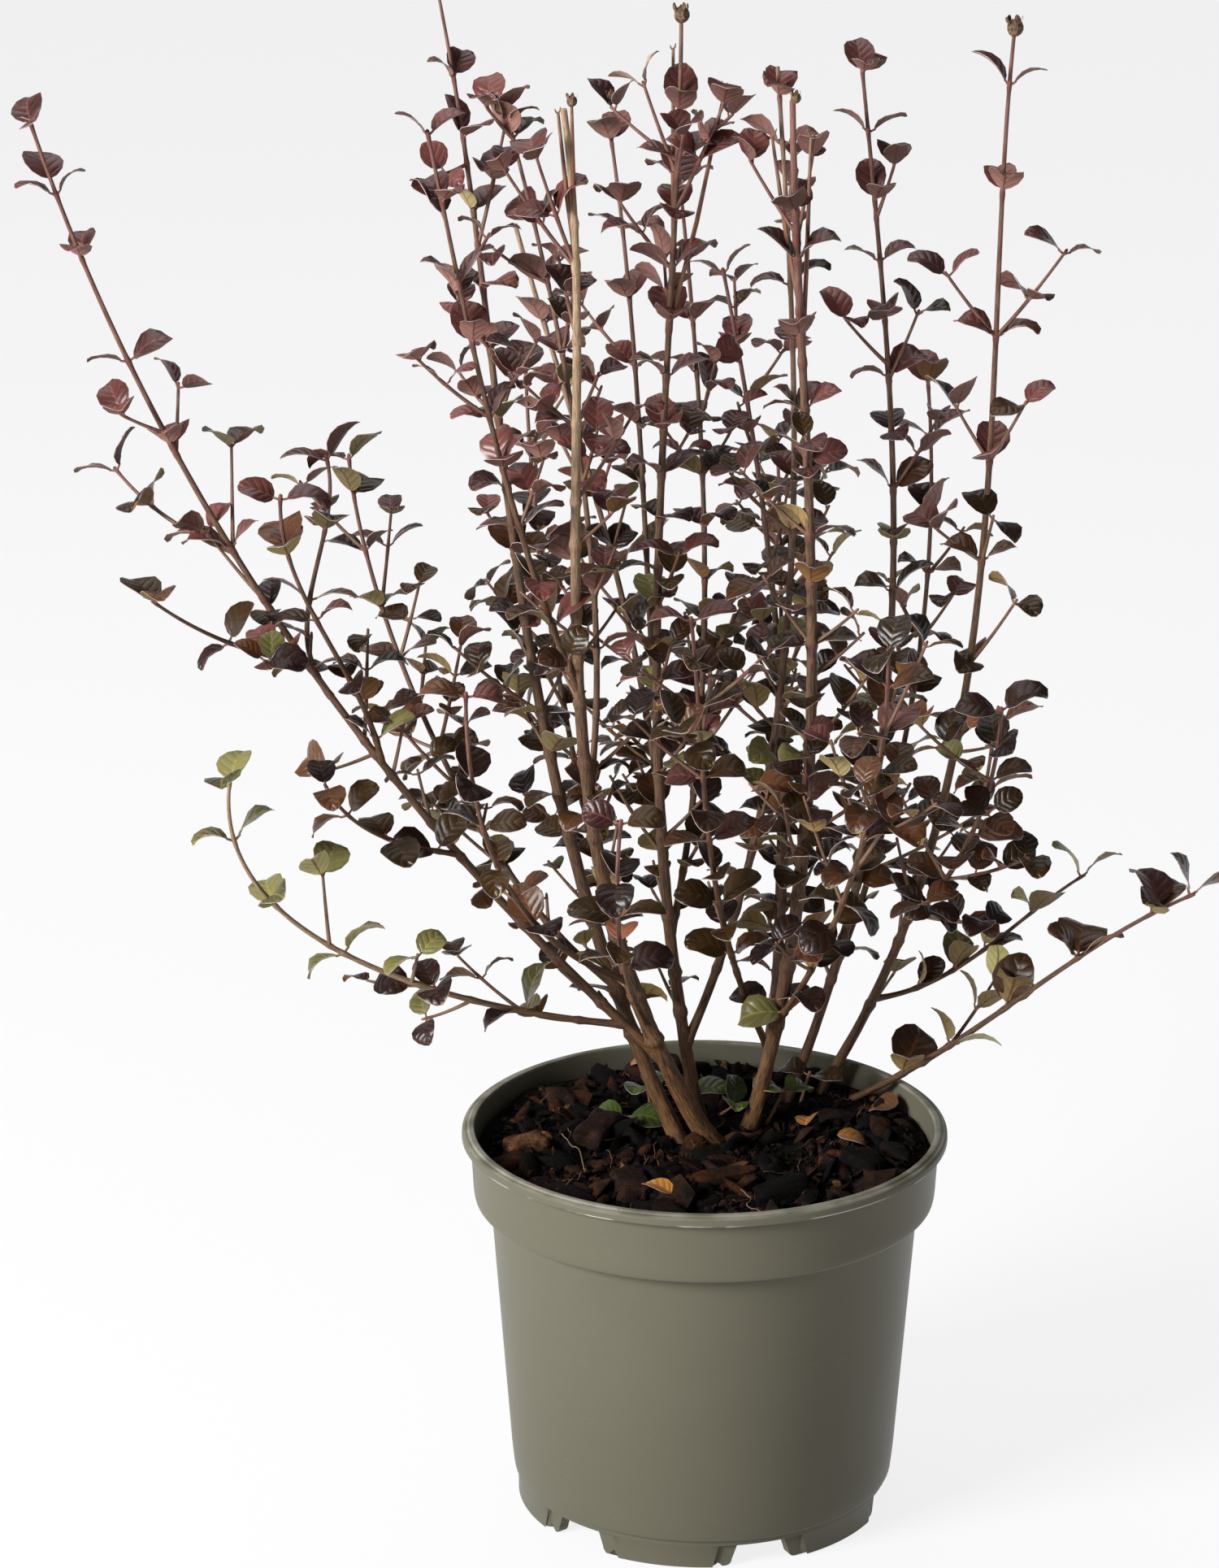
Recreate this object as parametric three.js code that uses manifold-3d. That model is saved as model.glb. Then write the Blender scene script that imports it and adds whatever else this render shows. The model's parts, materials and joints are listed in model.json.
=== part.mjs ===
// A young evergreen shrub with small round wine-dark leaves, in the round plastic pot it grew in.
// Millimetres, +Z up, the pot's feet on z = 0 and -Y the front. Every place is measured from the pot's
// axis, and the finished group is moved so that the middle of its base is the origin.

import * as THREE from 'three';
import { mergeVertices } from 'three/addons/utils/BufferGeometryUtils.js';
import Module from 'manifold-3d';

const wasm = await Module();
wasm.setup();
const { Manifold, Mesh } = wasm;

// Driving dimensions
const GAP = 0.3; // between pieces that touch
const POT = {
  height: 155,
  lipRadius: 95,
  lipDrop: 4,
  collarRadius: 91.7,
  collarFoot: 126.8, // height of the collar's lower edge
  collarFlare: 1.2, // how much narrower the collar is at its lower edge
  bodyTopRadius: 83.9,
  bodyFootRadius: 75,
  cornerRadius: 2.2,
  footHeight: 11,
  footRadius: 73.6,
  footWidth: 6,
  wall: 1.6,
  floor: 2,
  segments: 40,
};
const NOTCH = { count: 6, width: 17, first: 19 }; // between the feet, the first in degrees from the front
const DRAIN = { count: 6, radius: 4.5, ring: 52, sides: 8 };
const SOIL_TOP = 141;

const STEM_SIDES = 6;
const LEADER_SIDES = 3;
const STEM_STEP = 45; // along a limb, from ring to ring
const FLARE = { share: 0.35, reach: 7 }; // the swelling of a stem where it leaves the soil
const TWIG = { sides: 3, radius: 0.85, tip: 0.5 };
const LEAF = { length: 21.5, spread: 0.18, width: 0.84, fold: 0.08, rise: 38, riseSpread: 16, skyward: 0.5 };
const TOP_PAIR = 2; // the last leaves lie this far below the end of their twig
const SHOOT = {
  share: 0.4, // of the pairs that also carry a shoot
  length: 36,
  spread: 0.35,
  low: 1.2, // how long a shoot is at the foot of its leader, and then at its tip
  high: 0.6,
  rise: 42,
  lift: 0.15,
  long: 27, // a shoot over this has a second pair, pairAt along it
  pairAt: 0.5,
};
const NODE_GAP = 39; // along a leader, from one pair of leaves to the next
const LIMB_CLEARANCE = 2.6; // from a leaf to another limb's bark
const SPACE_MARGIN = 0.7; // from a leaf to the border of its mass's space
const SEED_HEAD = 3.4;
const SMALLEST = 0.02; // slivers left by the joins are closed up to this size

// Limbs, as a curve through a start, two handles and a tip. A limb with no parent rises from the soil.
// bare is the share of its length that is plain wood, whip the bare stretch above its last leaves.
const LIMBS = [
  { name: 'trunk', radius: [4.3, 1.2], bare: 1,
    path: [[4, 12, 140], [-78, -13, 277], [-36, -37, 440], [-52, -62, 563]] },
  { name: 'left_tall', radius: [3.3, 0.6], bare: 0.28, whip: 30, top: 'bare',
    path: [[-9, 12, 140], [-84, 20, 305], [-72, 26, 435], [-101, 34, 588]] },
  { name: 'centre_tall', radius: [2.8, 0.7], bare: 0.32, whip: 38, top: 'seed',
    path: [[-2, 34, 143], [-35, 20, 311], [-11, 6, 458], [-11, -8, 590]] },
  { name: 'right_front', radius: [3.2, 1.1], bare: 0.26, whip: 42, top: 'bare',
    path: [[17, 26, 140], [57, 3, 290], [32, -19, 437], [29, -42, 563]] },
  { name: 'inner_back', radius: [2.2, 0.7], bare: 0.24,
    path: [[20, 38, 141], [42, 64, 248], [28, 92, 363], [5, 120, 470]] },
  { name: 'right_back', radius: [2.2, 0.7], bare: 0.22,
    path: [[31, 50, 140], [91, 66, 286], [73, 80, 417], [58, 96, 553]] },
  { name: 'right_tall', radius: [2.2, 0.7], bare: 0.3, spacing: 44, whip: 10, top: 'seed',
    path: [[44, 62, 141], [125, 43, 276], [101, 21, 454], [110, 0, 582]] },
  { name: 'low_right', radius: [1.6, 0.7], bare: 0.3,
    path: [[50, 53, 141], [104, 34, 171], [139, 11, 225], [186, -14, 256]] },
  { name: 'far_left', from: 'trunk', radius: [2.1, 0.7], bare: 0.64, spacing: 32,
    path: [[-19, 4, 178], [-129, -4, 289], [-208, -12, 416], [-247, -20, 551]] },
  { name: 'low_left', from: 'far_left', radius: [1.5, 0.7], bare: 0.34, spacing: 34,
    path: [[-34, 3, 191], [-78, -14, 204], [-189, -49, 239], [-175, -70, 317]] },
  { name: 'left_back', from: 'left_tall', radius: [1.6, 0.7], bare: 0.24,
    path: [[-34, 26, 207], [-87, 42, 232], [-137, 73, 341], [-142, 90, 401]] },
  { name: 'right_middle', from: 'centre_tall', radius: [1.9, 0.8], bare: 0.2, whip: 12, top: 'bare',
    path: [[-4, 32, 176], [46, 42, 299], [34, 52, 440], [25, 62, 559]] },
  { name: 'back_left_tall', from: 'centre_tall', radius: [1.7, 0.7], bare: 0.15,
    path: [[-11, 30, 198], [-25, 64, 315], [-23, 88, 420], [-39, 112, 523]] },
  { name: 'front_centre', from: 'inner_back', radius: [1.5, 0.7], bare: 0.22,
    path: [[19, 36, 173], [-4, -10, 248], [0, -54, 322], [-6, -100, 388]] },
  { name: 'back_centre', from: 'centre_tall', radius: [1.5, 0.7], bare: 0,
    path: [[-11, 28, 222], [6, 55, 313], [-1, 69, 415], [-12, 84, 512]] },
  { name: 'left_stub', from: 'centre_tall', radius: [1.4, 0.9], bare: 0, whip: 40, top: 'bare',
    path: [[-13, 27, 246], [-20, 45, 335], [-54, 58, 424], [-75, 70, 497]] },
  { name: 'left_front', from: 'trunk', radius: [1.4, 0.7], bare: 0,
    path: [[-45, -34, 335], [-75, -45, 409], [-87, -55, 485], [-100, -66, 556]] },
  { name: 'left_middle', from: 'trunk', radius: [1.4, 0.7], bare: 0,
    path: [[-56, -20, 290], [-34, 5, 370], [-56, 18, 474], [-77, 30, 549]] },
  { name: 'far_left_front', from: 'far_left', radius: [1.2, 0.7], bare: 0,
    path: [[-124, -6, 303], [-129, -17, 344], [-161, -29, 376], [-157, -40, 417]] },
  { name: 'far_left_inner', from: 'far_left', radius: [1.2, 0.7], bare: 0,
    path: [[-145, -4, 328], [-167, 7, 354], [-137, 19, 387], [-146, 30, 415]] },
  { name: 'far_left_outer', from: 'far_left', radius: [1.1, 0.6], bare: 0,
    path: [[-154, -8, 341], [-172, -25, 352], [-189, -43, 365], [-203, -60, 382]] },
  { name: 'far_left_upper', from: 'far_left', radius: [1.1, 0.6], bare: 0,
    path: [[-179, -10, 387], [-198, 3, 391], [-214, 17, 398], [-227, 30, 410]] },
  { name: 'far_left_lower', from: 'far_left', radius: [1.1, 0.6], bare: 0,
    path: [[-96, -2, 265], [-116, -18, 274], [-134, -34, 284], [-142, -50, 309]] },
  { name: 'low_right_back', from: 'right_tall', radius: [1.2, 0.6], bare: 0,
    path: [[68, 56, 187], [103, 71, 186], [125, 85, 212], [154, 100, 225]] },
  { name: 'right_shoulder', from: 'right_tall', radius: [1.3, 0.7], bare: 0,
    path: [[78, 40, 220], [100, 8, 256], [110, -24, 301], [108, -56, 342]] },
  { name: 'front_right', from: 'right_front', radius: [1.4, 0.7], bare: 0,
    path: [[30, 17, 190], [50, -30, 240], [66, -80, 310], [64, -112, 380]] },
  { name: 'front_left', from: 'trunk', radius: [1.4, 0.7], bare: 0,
    path: [[-33, -3, 212], [-66, -40, 240], [-88, -88, 290], [-86, -108, 362]] },
  { name: 'front_low', from: 'trunk', radius: [1.4, 0.7], bare: 0,
    path: [[-25, 0, 196], [-26, -50, 224], [-36, -110, 260], [-30, -140, 325]] },
  { name: 'back_left', from: 'left_tall', radius: [1.5, 0.7], bare: 0,
    path: [[-28, 18, 190], [-42, 60, 240], [-70, 115, 320], [-74, 140, 425]] },
  { name: 'back_right', from: 'right_back', radius: [1.5, 0.7], bare: 0,
    path: [[50, 57, 196], [78, 95, 250], [96, 130, 330], [88, 142, 420]] },
  { name: 'back_low', from: 'inner_back', radius: [1.4, 0.7], bare: 0,
    path: [[27, 51, 190], [30, 95, 235], [32, 150, 300], [28, 168, 390]] },
];

// Small helpers
const UP = new THREE.Vector3(0, 0, 1);
const BACK = new THREE.Vector3(0, 1, 0);
const degrees = THREE.MathUtils.degToRad;
const lerp = THREE.MathUtils.lerp;

function seeded(seed) {
  let state = seed;
  return () => {
    state = (state + 0x6d2b79f5) | 0;
    let mixed = Math.imul(state ^ (state >>> 15), 1 | state);
    mixed = (mixed + Math.imul(mixed ^ (mixed >>> 7), 61 | mixed)) ^ mixed;
    return ((mixed ^ (mixed >>> 14)) >>> 0) / 4294967296;
  };
}

function solidOf(geometry) {
  const bare = geometry.clone();
  bare.deleteAttribute('normal');
  bare.deleteAttribute('uv');
  const merged = mergeVertices(bare, 1e-4);
  return new Manifold(
    new Mesh({
      numProp: 3,
      vertProperties: Float32Array.from(merged.attributes.position.array),
      triVerts: Uint32Array.from(merged.index.array),
    }),
  );
}

function geometryOf(solid) {
  const mesh = solid.getMesh();
  const geometry = new THREE.BufferGeometry();
  geometry.setAttribute('position', new THREE.BufferAttribute(mesh.vertProperties, 3));
  geometry.setIndex(new THREE.BufferAttribute(mesh.triVerts, 1));
  geometry.computeVertexNormals();
  return geometry;
}

function largestPiece(solid) {
  const pieces = solid.decompose();
  return pieces.reduce((best, piece) => (piece.volume() > best.volume() ? piece : best));
}

// Limbs: each one is a cylinder laid along its curve
function framedAt(curve, share) {
  const tangent = curve.getTangentAt(share);
  const normal = new THREE.Vector3().crossVectors(BACK, tangent).normalize();
  const binormal = new THREE.Vector3().crossVectors(tangent, normal);
  return { point: curve.getPointAt(share), tangent, normal, binormal };
}

function tube(curve, stations, radiusAt, sides) {
  const geometry = new THREE.CylinderGeometry(1, 1, 1, sides, stations.length - 1);
  const place = geometry.attributes.position;
  for (let index = 0; index < place.count; index += 1) {
    const station = stations[Math.round((place.getY(index) + 0.5) * (stations.length - 1))];
    const frame = framedAt(curve, THREE.MathUtils.clamp(station, 0, 1));
    const radius = radiusAt(station);
    const beyond = Math.min(station, 0) * curve.getLength(); // a stem is carried straight on below its foot
    const spot = frame.point
      .addScaledVector(frame.tangent, beyond)
      .addScaledVector(frame.normal, place.getZ(index) * radius)
      .addScaledVector(frame.binormal, place.getX(index) * radius);
    place.setXYZ(index, spot.x, spot.y, spot.z);
  }
  return solidOf(geometry);
}

function stationsBetween(from, to, length) {
  const count = Math.max(1, Math.round(((to - from) * length) / STEM_STEP));
  return Array.from({ length: count + 1 }, (_, step) => lerp(from, to, step / count));
}

const limbs = new Map();
for (const row of LIMBS) {
  const path = row.path.map((point) => new THREE.Vector3(...point));
  if (row.from) {
    path[0] = nearestOn(limbs.get(row.from), path[0]);
  }
  const curve = new THREE.CubicBezierCurve3(...path);
  const length = curve.getLength();
  const taper = (share) => lerp(row.radius[0], row.radius[1], Math.max(share, 0));
  const swelling = (share) => (row.from ? 1 : 1 + FLARE.share * Math.exp(-(share * length) / FLARE.reach));
  const radiusAt = (share) => taper(share) * Math.min(swelling(share), 1 + FLARE.share);
  limbs.set(row.name, { ...row, curve, length, radiusAt, line: curve.getSpacedPoints(30) });
}

function nearestOn(limb, point) {
  const closest = limb.curve.getSpacedPoints(400);
  return closest.reduce((best, spot) => (spot.distanceTo(point) < best.distanceTo(point) ? spot : best));
}

function woodOf(limb) {
  const stations = stationsBetween(0, limb.bare, limb.length);
  if (limb.from) {
    return tube(limb.curve, stations, limb.radiusAt, STEM_SIDES);
  }
  stations.unshift(-FLARE.reach / limb.length);
  stations.splice(2, 0, FLARE.reach / limb.length);
  return tube(limb.curve, stations, limb.radiusAt, STEM_SIDES).trimByPlane([0, 0, 1], SOIL_TOP + GAP);
}

function clearOfParent(solid, limb) {
  if (!limb.from) {
    return solid;
  }
  const parent = limbs.get(limb.from);
  const grown = (share) => parent.radiusAt(share) + GAP / Math.cos(Math.PI / STEM_SIDES);
  const stations = stationsBetween(0, parent.bare, parent.length);
  return largestPiece(solid.subtract(tube(parent.curve, stations, grown, STEM_SIDES)));
}

// Foliage: a leader carries crosswise pairs of leaves and short shoots, each inside its mass's own space
function distanceTo(line, point) {
  const segment = new THREE.Line3();
  const closest = new THREE.Vector3();
  let nearest = Infinity;
  for (let index = 1; index < line.length; index += 1) {
    segment.set(line[index - 1], line[index]);
    nearest = Math.min(nearest, segment.closestPointToPoint(point, true, closest).distanceTo(point));
  }
  return nearest;
}

function leafyLine(limb) {
  return limb.line.filter((_, index) => index / (limb.line.length - 1) >= limb.bare - 0.02);
}

function woodyLine(limb) {
  return limb.line.filter((_, index) => index / (limb.line.length - 1) <= limb.bare + 0.04);
}

function keepsToItsSpace(limb, points) {
  return points.every((point) => {
    const own = distanceTo(leafyLine(limb), point);
    for (const other of limbs.values()) {
      if (other.bare < 1 && other !== limb && distanceTo(leafyLine(other), point) < own + SPACE_MARGIN) {
        return false;
      }
      if (other.bare > 0 && distanceTo(woodyLine(other), point) < other.radius[0] + LIMB_CLEARANCE) {
        return false;
      }
    }
    return true;
  });
}

// A leaf is six faces round a root, a tip, two raised sides and a keel
function leafGeometry(length) {
  const geometry = new THREE.SphereGeometry(1, 3, 2);
  const place = geometry.attributes.position;
  for (let index = 0; index < place.count; index += 1) {
    const along = ((place.getY(index) + 1) * length) / 2;
    const across = (place.getZ(index) * length * LEAF.width) / Math.sqrt(3);
    place.setXYZ(index, along, across, place.getX(index) * length * LEAF.fold);
  }
  return geometry;
}

function leafAt(root, stalk, outward, random) {
  const rise = degrees(LEAF.rise + (random() - 0.5) * 2 * LEAF.riseSpread);
  const length = LEAF.length * (1 + (random() - 0.5) * 2 * LEAF.spread);
  const skyward = stalk.clone().addScaledVector(UP, LEAF.skyward).normalize();
  const along = outward.clone().multiplyScalar(Math.cos(rise)).addScaledVector(skyward, Math.sin(rise));
  along.normalize();
  const across = new THREE.Vector3().crossVectors(skyward, along).normalize();
  const face = new THREE.Vector3().crossVectors(along, across);
  const turn = new THREE.Matrix4().makeBasis(along, across, face).setPosition(root);
  return leafGeometry(length).applyMatrix4(turn);
}

function spreadOver(geometry, root) {
  const place = geometry.attributes.position;
  const corner = (index) => new THREE.Vector3().fromBufferAttribute(place, index);
  const outer = Array.from({ length: place.count }, (_, index) => corner(index)).filter(
    (spot) => spot.distanceTo(root) > 3,
  );
  const middles = outer.flatMap((spot, index) => [
    spot.clone().lerp(root, 0.4),
    spot.clone().lerp(outer[(index + 1) % outer.length], 0.5),
  ]);
  return [...outer, ...middles];
}

function outwardFrom(tangent, turn) {
  const side = new THREE.Vector3().crossVectors(BACK, tangent).normalize();
  return side.applyAxisAngle(tangent, turn);
}

function addPair(pieces, limb, root, tangent, turn, random) {
  for (const side of [0, Math.PI]) {
    const leaf = leafAt(root, tangent, outwardFrom(tangent, turn + side), random);
    if (keepsToItsSpace(limb, spreadOver(leaf, root))) {
      pieces.push(solidOf(leaf));
    }
  }
}

function addShoot(pieces, limb, root, tangent, turn, size, random) {
  const rise = degrees(SHOOT.rise);
  const heading = outwardFrom(tangent, turn).multiplyScalar(Math.cos(rise));
  heading.addScaledVector(tangent, Math.sin(rise));
  const length = SHOOT.length * size * (1 + (random() - 0.5) * 2 * SHOOT.spread);
  const tip = root.clone().addScaledVector(heading, length).addScaledVector(UP, length * SHOOT.lift);
  const bend = root.clone().addScaledVector(heading, length / 2);
  const curve = new THREE.QuadraticBezierCurve3(root, bend, tip);
  if (!keepsToItsSpace(limb, [0.4, 0.7, 1].map((share) => curve.getPointAt(share)))) {
    return;
  }
  const radiusAt = (share) => lerp(TWIG.radius, TWIG.tip, share);
  pieces.push(tube(curve, [0, 0.5, 1], radiusAt, TWIG.sides));
  const crosswise = random() * Math.PI;
  if (length > SHOOT.long) {
    addPair(pieces, limb, curve.getPointAt(SHOOT.pairAt), curve.getTangentAt(SHOOT.pairAt), crosswise, random);
  }
  const end = 1 - TOP_PAIR / curve.getLength();
  addPair(pieces, limb, curve.getPointAt(end), curve.getTangentAt(end), crosswise + Math.PI / 2, random);
}

function seedHead(point) {
  return solidOf(new THREE.IcosahedronGeometry(SEED_HEAD).translate(point.x, point.y, point.z));
}

function leaderOf(limb, start) {
  const leader = tube(limb.curve, stationsBetween(start, 1, limb.length), limb.radiusAt, LEADER_SIDES);
  return limb.bare > 0 ? leader : clearOfParent(leader, limb);
}

function foliageOf(limb, random) {
  const start = limb.bare > 0 ? limb.bare + GAP / limb.length : 0;
  const pieces = [leaderOf(limb, start)];
  const step = limb.spacing ?? NODE_GAP;
  const top = limb.length - (limb.whip ?? TOP_PAIR);
  let turn = random() * Math.PI;
  const nodeAt = (reach) => {
    const share = reach / limb.length;
    return [limb.curve.getPointAt(share), limb.curve.getTangentAt(share), turn];
  };
  let reach = start * limb.length + step * 0.4;
  while (reach < top) {
    turn += Math.PI / 2 + (random() - 0.5) * 0.5;
    const [root, tangent] = nodeAt(reach);
    addPair(pieces, limb, root, tangent, turn, random);
    if (random() < SHOOT.share) {
      const size = lerp(SHOOT.low, SHOOT.high, reach / limb.length);
      addShoot(pieces, limb, root, tangent, turn + Math.PI / 2, size, random);
    }
    reach += step * lerp(0.85, 1.15, random());
  }
  turn += Math.PI / 2;
  addPair(pieces, limb, ...nodeAt(top), random);
  if (limb.top === 'seed') {
    pieces.push(seedHead(limb.curve.getPointAt(1)));
  }
  return largestPiece(Manifold.union(pieces).simplify(SMALLEST));
}

// Pot and soil
function turned(profile) {
  const points = profile.map(([radius, height]) => new THREE.Vector2(radius, height));
  return solidOf(new THREE.LatheGeometry(points, POT.segments).rotateX(Math.PI / 2));
}

function around(count, first, make) {
  return Array.from({ length: count }, (_, index) => make(degrees(first) + (index * 2 * Math.PI) / count));
}

function potSolid() {
  const { wall, floor, footHeight, footWidth, footRadius } = POT;
  const bodyFoot = POT.bodyFootRadius;
  const collarLow = POT.collarRadius - POT.collarFlare;
  const shell = turned([
    [0, footHeight - floor],
    [footRadius - footWidth, footHeight - floor],
    [footRadius - footWidth, 0],
    [footRadius - 0.6, 0],
    [footRadius, footHeight - 0.4],
    [bodyFoot - POT.cornerRadius * 0.5, footHeight],
    [bodyFoot + 0.2, footHeight + POT.cornerRadius],
    [POT.bodyTopRadius, POT.collarFoot - 0.8],
    [collarLow - 1.4, POT.collarFoot],
    [collarLow, POT.collarFoot + 1.4],
    [POT.collarRadius, POT.height - POT.lipDrop - 1],
    [POT.lipRadius - 0.4, POT.height - POT.lipDrop],
    [POT.lipRadius, POT.height - 1.2],
    [POT.lipRadius - 1.2, POT.height],
    [POT.collarRadius - wall, POT.height],
    [collarLow - wall, POT.collarFoot + 2.4],
    [POT.bodyTopRadius - wall, POT.collarFoot - 2.4],
    [bodyFoot - wall, footHeight + POT.cornerRadius],
    [bodyFoot - wall - POT.cornerRadius, footHeight],
    [0, footHeight],
  ]);
  const notches = around(NOTCH.count, NOTCH.first, (turn) => {
    const box = new THREE.BoxGeometry(NOTCH.width, footWidth * 4, (footHeight - floor) * 2);
    return solidOf(box.translate(0, -footRadius, 0).rotateZ(turn));
  });
  const drains = around(DRAIN.count, NOTCH.first, (turn) => {
    const hole = new THREE.CylinderGeometry(DRAIN.radius, DRAIN.radius, floor * 4, DRAIN.sides);
    return solidOf(hole.rotateX(Math.PI / 2).translate(0, -DRAIN.ring, footHeight).rotateZ(turn));
  });
  return shell.subtract(Manifold.union([...notches, ...drains]));
}

function soilSolid() {
  const inner = (radius) => radius - POT.wall - GAP;
  const foot = POT.footHeight;
  const corner = POT.cornerRadius;
  return turned([
    [0, foot + GAP],
    [inner(POT.bodyFootRadius) - corner, foot + GAP],
    [inner(POT.bodyFootRadius), foot + corner],
    [inner(POT.bodyTopRadius), POT.collarFoot - 2.4],
    [inner(POT.collarRadius - POT.collarFlare), POT.collarFoot + 2.6],
    [inner(POT.collarRadius - POT.collarFlare) + 0.4, SOIL_TOP],
    [0, SOIL_TOP],
  ]);
}

// Finishes
const FINISHES = {
  pot: { color: 0x7b786c, roughness: 0.42, metalness: 0 },
  soil: { color: 0x231a15, roughness: 0.95, metalness: 0 },
  wood: { color: 0x7d5a41, roughness: 0.8, metalness: 0 },
  foliage: { color: 0x50333a, roughness: 0.4, metalness: 0 },
};

function piece(name, solid, finish) {
  const mesh = new THREE.Mesh(geometryOf(solid), new THREE.MeshStandardMaterial(FINISHES[finish]));
  mesh.name = name;
  return mesh;
}

// Assembly
const group = new THREE.Group();
group.add(piece('pot', potSolid(), 'pot'));
group.add(piece('soil', soilSolid(), 'soil'));

let seed = 11;
for (const limb of limbs.values()) {
  if (limb.bare > 0) {
    const kind = limb.from ? 'bough' : 'stem';
    const name = limb.name === 'trunk' ? limb.name : `${kind}_${limb.name}`;
    group.add(piece(name, clearOfParent(woodOf(limb), limb), 'wood'));
  }
  if (limb.bare < 1) {
    seed += 1;
    group.add(piece(`foliage_${limb.name}`, foliageOf(limb, seeded(seed)), 'foliage'));
  }
}

const middle = new THREE.Box3().setFromObject(group).getCenter(new THREE.Vector3());
group.position.set(-middle.x, -middle.y, 0);

export default group;
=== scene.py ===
# The looks of a young evergreen shrub with small round wine-dark leaves, in the plastic pot it grew in.
# Shapes are worked out in millimetres from the pot's axis, +Z up and -Y the front, as in the model that
# is loaded here, and are laid in its frame in metres.

import json
import math
import random

import bpy
import numpy as np
from mathutils import Matrix, Vector, noise

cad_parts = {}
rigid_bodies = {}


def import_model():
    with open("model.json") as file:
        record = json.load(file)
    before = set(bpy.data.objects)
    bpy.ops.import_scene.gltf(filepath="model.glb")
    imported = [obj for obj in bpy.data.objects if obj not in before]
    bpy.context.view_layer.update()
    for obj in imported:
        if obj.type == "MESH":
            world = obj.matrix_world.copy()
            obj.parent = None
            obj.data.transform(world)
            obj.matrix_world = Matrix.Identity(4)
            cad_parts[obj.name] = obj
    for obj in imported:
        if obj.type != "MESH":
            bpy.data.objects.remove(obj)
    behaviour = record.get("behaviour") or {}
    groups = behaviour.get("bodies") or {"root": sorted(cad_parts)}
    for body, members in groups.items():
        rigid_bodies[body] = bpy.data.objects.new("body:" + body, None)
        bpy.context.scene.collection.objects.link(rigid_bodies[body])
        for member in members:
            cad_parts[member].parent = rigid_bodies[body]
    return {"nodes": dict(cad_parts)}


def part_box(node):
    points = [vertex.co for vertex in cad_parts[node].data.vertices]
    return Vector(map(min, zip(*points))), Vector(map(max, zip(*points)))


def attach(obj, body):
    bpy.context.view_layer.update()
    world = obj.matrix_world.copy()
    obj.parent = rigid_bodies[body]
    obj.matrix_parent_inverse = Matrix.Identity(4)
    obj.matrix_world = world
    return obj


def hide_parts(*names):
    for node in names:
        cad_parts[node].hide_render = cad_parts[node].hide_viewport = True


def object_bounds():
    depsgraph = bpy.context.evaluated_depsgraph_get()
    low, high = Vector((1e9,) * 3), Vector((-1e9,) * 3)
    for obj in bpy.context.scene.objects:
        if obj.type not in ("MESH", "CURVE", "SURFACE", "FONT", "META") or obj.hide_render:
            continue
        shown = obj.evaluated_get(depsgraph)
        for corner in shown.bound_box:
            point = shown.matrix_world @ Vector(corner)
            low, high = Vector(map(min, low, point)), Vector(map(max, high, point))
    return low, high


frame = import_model()
cad_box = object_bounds()

MM = 0.001
pot_low, pot_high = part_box("pot")
AXIS = Vector(((pot_low.x + pot_high.x) / 2, (pot_low.y + pot_high.y) / 2, 0))
UP = np.array([0.0, 0.0, 1.0])
BACK = np.array([0.0, 1.0, 0.0])

# The pot, in millimetres
POT_HEIGHT = 155
LIP_RADIUS = 95
COLLAR_RADIUS = 91.7
COLLAR_FLARE = 1.2  # how much narrower the collar is at its lower edge
COLLAR_FOOT = 126.8
BODY_TOP_RADIUS = 83.9
BODY_FOOT_RADIUS = 75
WALL = 1.6
FOOT_HEIGHT = 11
FOOT_RADIUS = 73.6
FOOT_WIDTH = 6
FOOT_SETBACK = 1.5  # of the tab at each end of a foot
FOOT_COUNT = 6
FOOT_SPREAD = 22.5  # degrees to each side of a foot's middle, its tabs with it
FOOT_LEAN = 1.8  # how far the ends of a foot lean in, in degrees round the pot
TAB_SPREAD = 6  # degrees of a foot's spread that each of its tabs takes up
FIRST_FOOT = -11.4  # the front foot's middle, in degrees from the front toward +X
DRAIN_RADIUS = 4.5
DRAIN_RING = 52
POT_SEGMENTS = 120

# The mulch that fills it
SOIL_TOP = 141
SOIL_RADIUS = 88.2
BED_DEPTH = 4
BED_RINGS, BED_SIDES = 46, 120
BACK_HEAP, RIGHT_HEAP = 4.5, 3  # how much higher the bed is there
CHIP_COUNT = 760
SMALL_CHIP, LARGE_CHIP = (5, 11), (10, 20)  # the lengths of most chips, and of the rest
SMALL_CHIP_SHARE = 0.75
CHIP_LEAN, CRUMB_LEAN = 0.42, 0.9
CRUMB_COUNT = 3200
CRUMB = (1.2, 5)
FIBRE_COUNT = 26
FIBRE_SPOTS = 7

# The limbs
NODE_GAP = (15, 30)  # from one pair of leaves to the next, low in the crown and at its top
TOP_PAIR = 2  # the last leaves lie this far below the end of their twig
FLARE_SHARE = 0.35  # the swelling of a stem where it leaves the soil
FLARE_REACH = 7
SPACE_MARGIN = -8  # a leaf may reach this far past the middle between its own limb and the next
REACH_SLACK = 1.5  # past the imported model's reach
LIMB_CLEARANCE = 1.0  # from a leaf to another limb's bark
SHOOT_SHARE = (0.95, 0.05)  # of the leaves that also carry a shoot in their axil, low and at the top
CROWN_LOW, CROWN_HIGH = 170, 560
SHOOT_LENGTH = 36
SHOOT_SIZE = (1.2, 0.6)  # times that length, low in the crown and at its top
SHOOT_GAP = 13  # from one pair to the next on a shoot
SPRIG_GAP = 22  # and on a side twig that has a place of its own
BASAL_GAP = 26  # from one leafy shoot to the next on the bare foot of a stem
BASAL_HEIGHT = 175  # the lowest of them
BASAL_REACH = 330  # as much of a limb's length as they are dealt out over
LEAF_LENGTH = (16.6, 15.4)  # low in the crown and at its top
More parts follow.
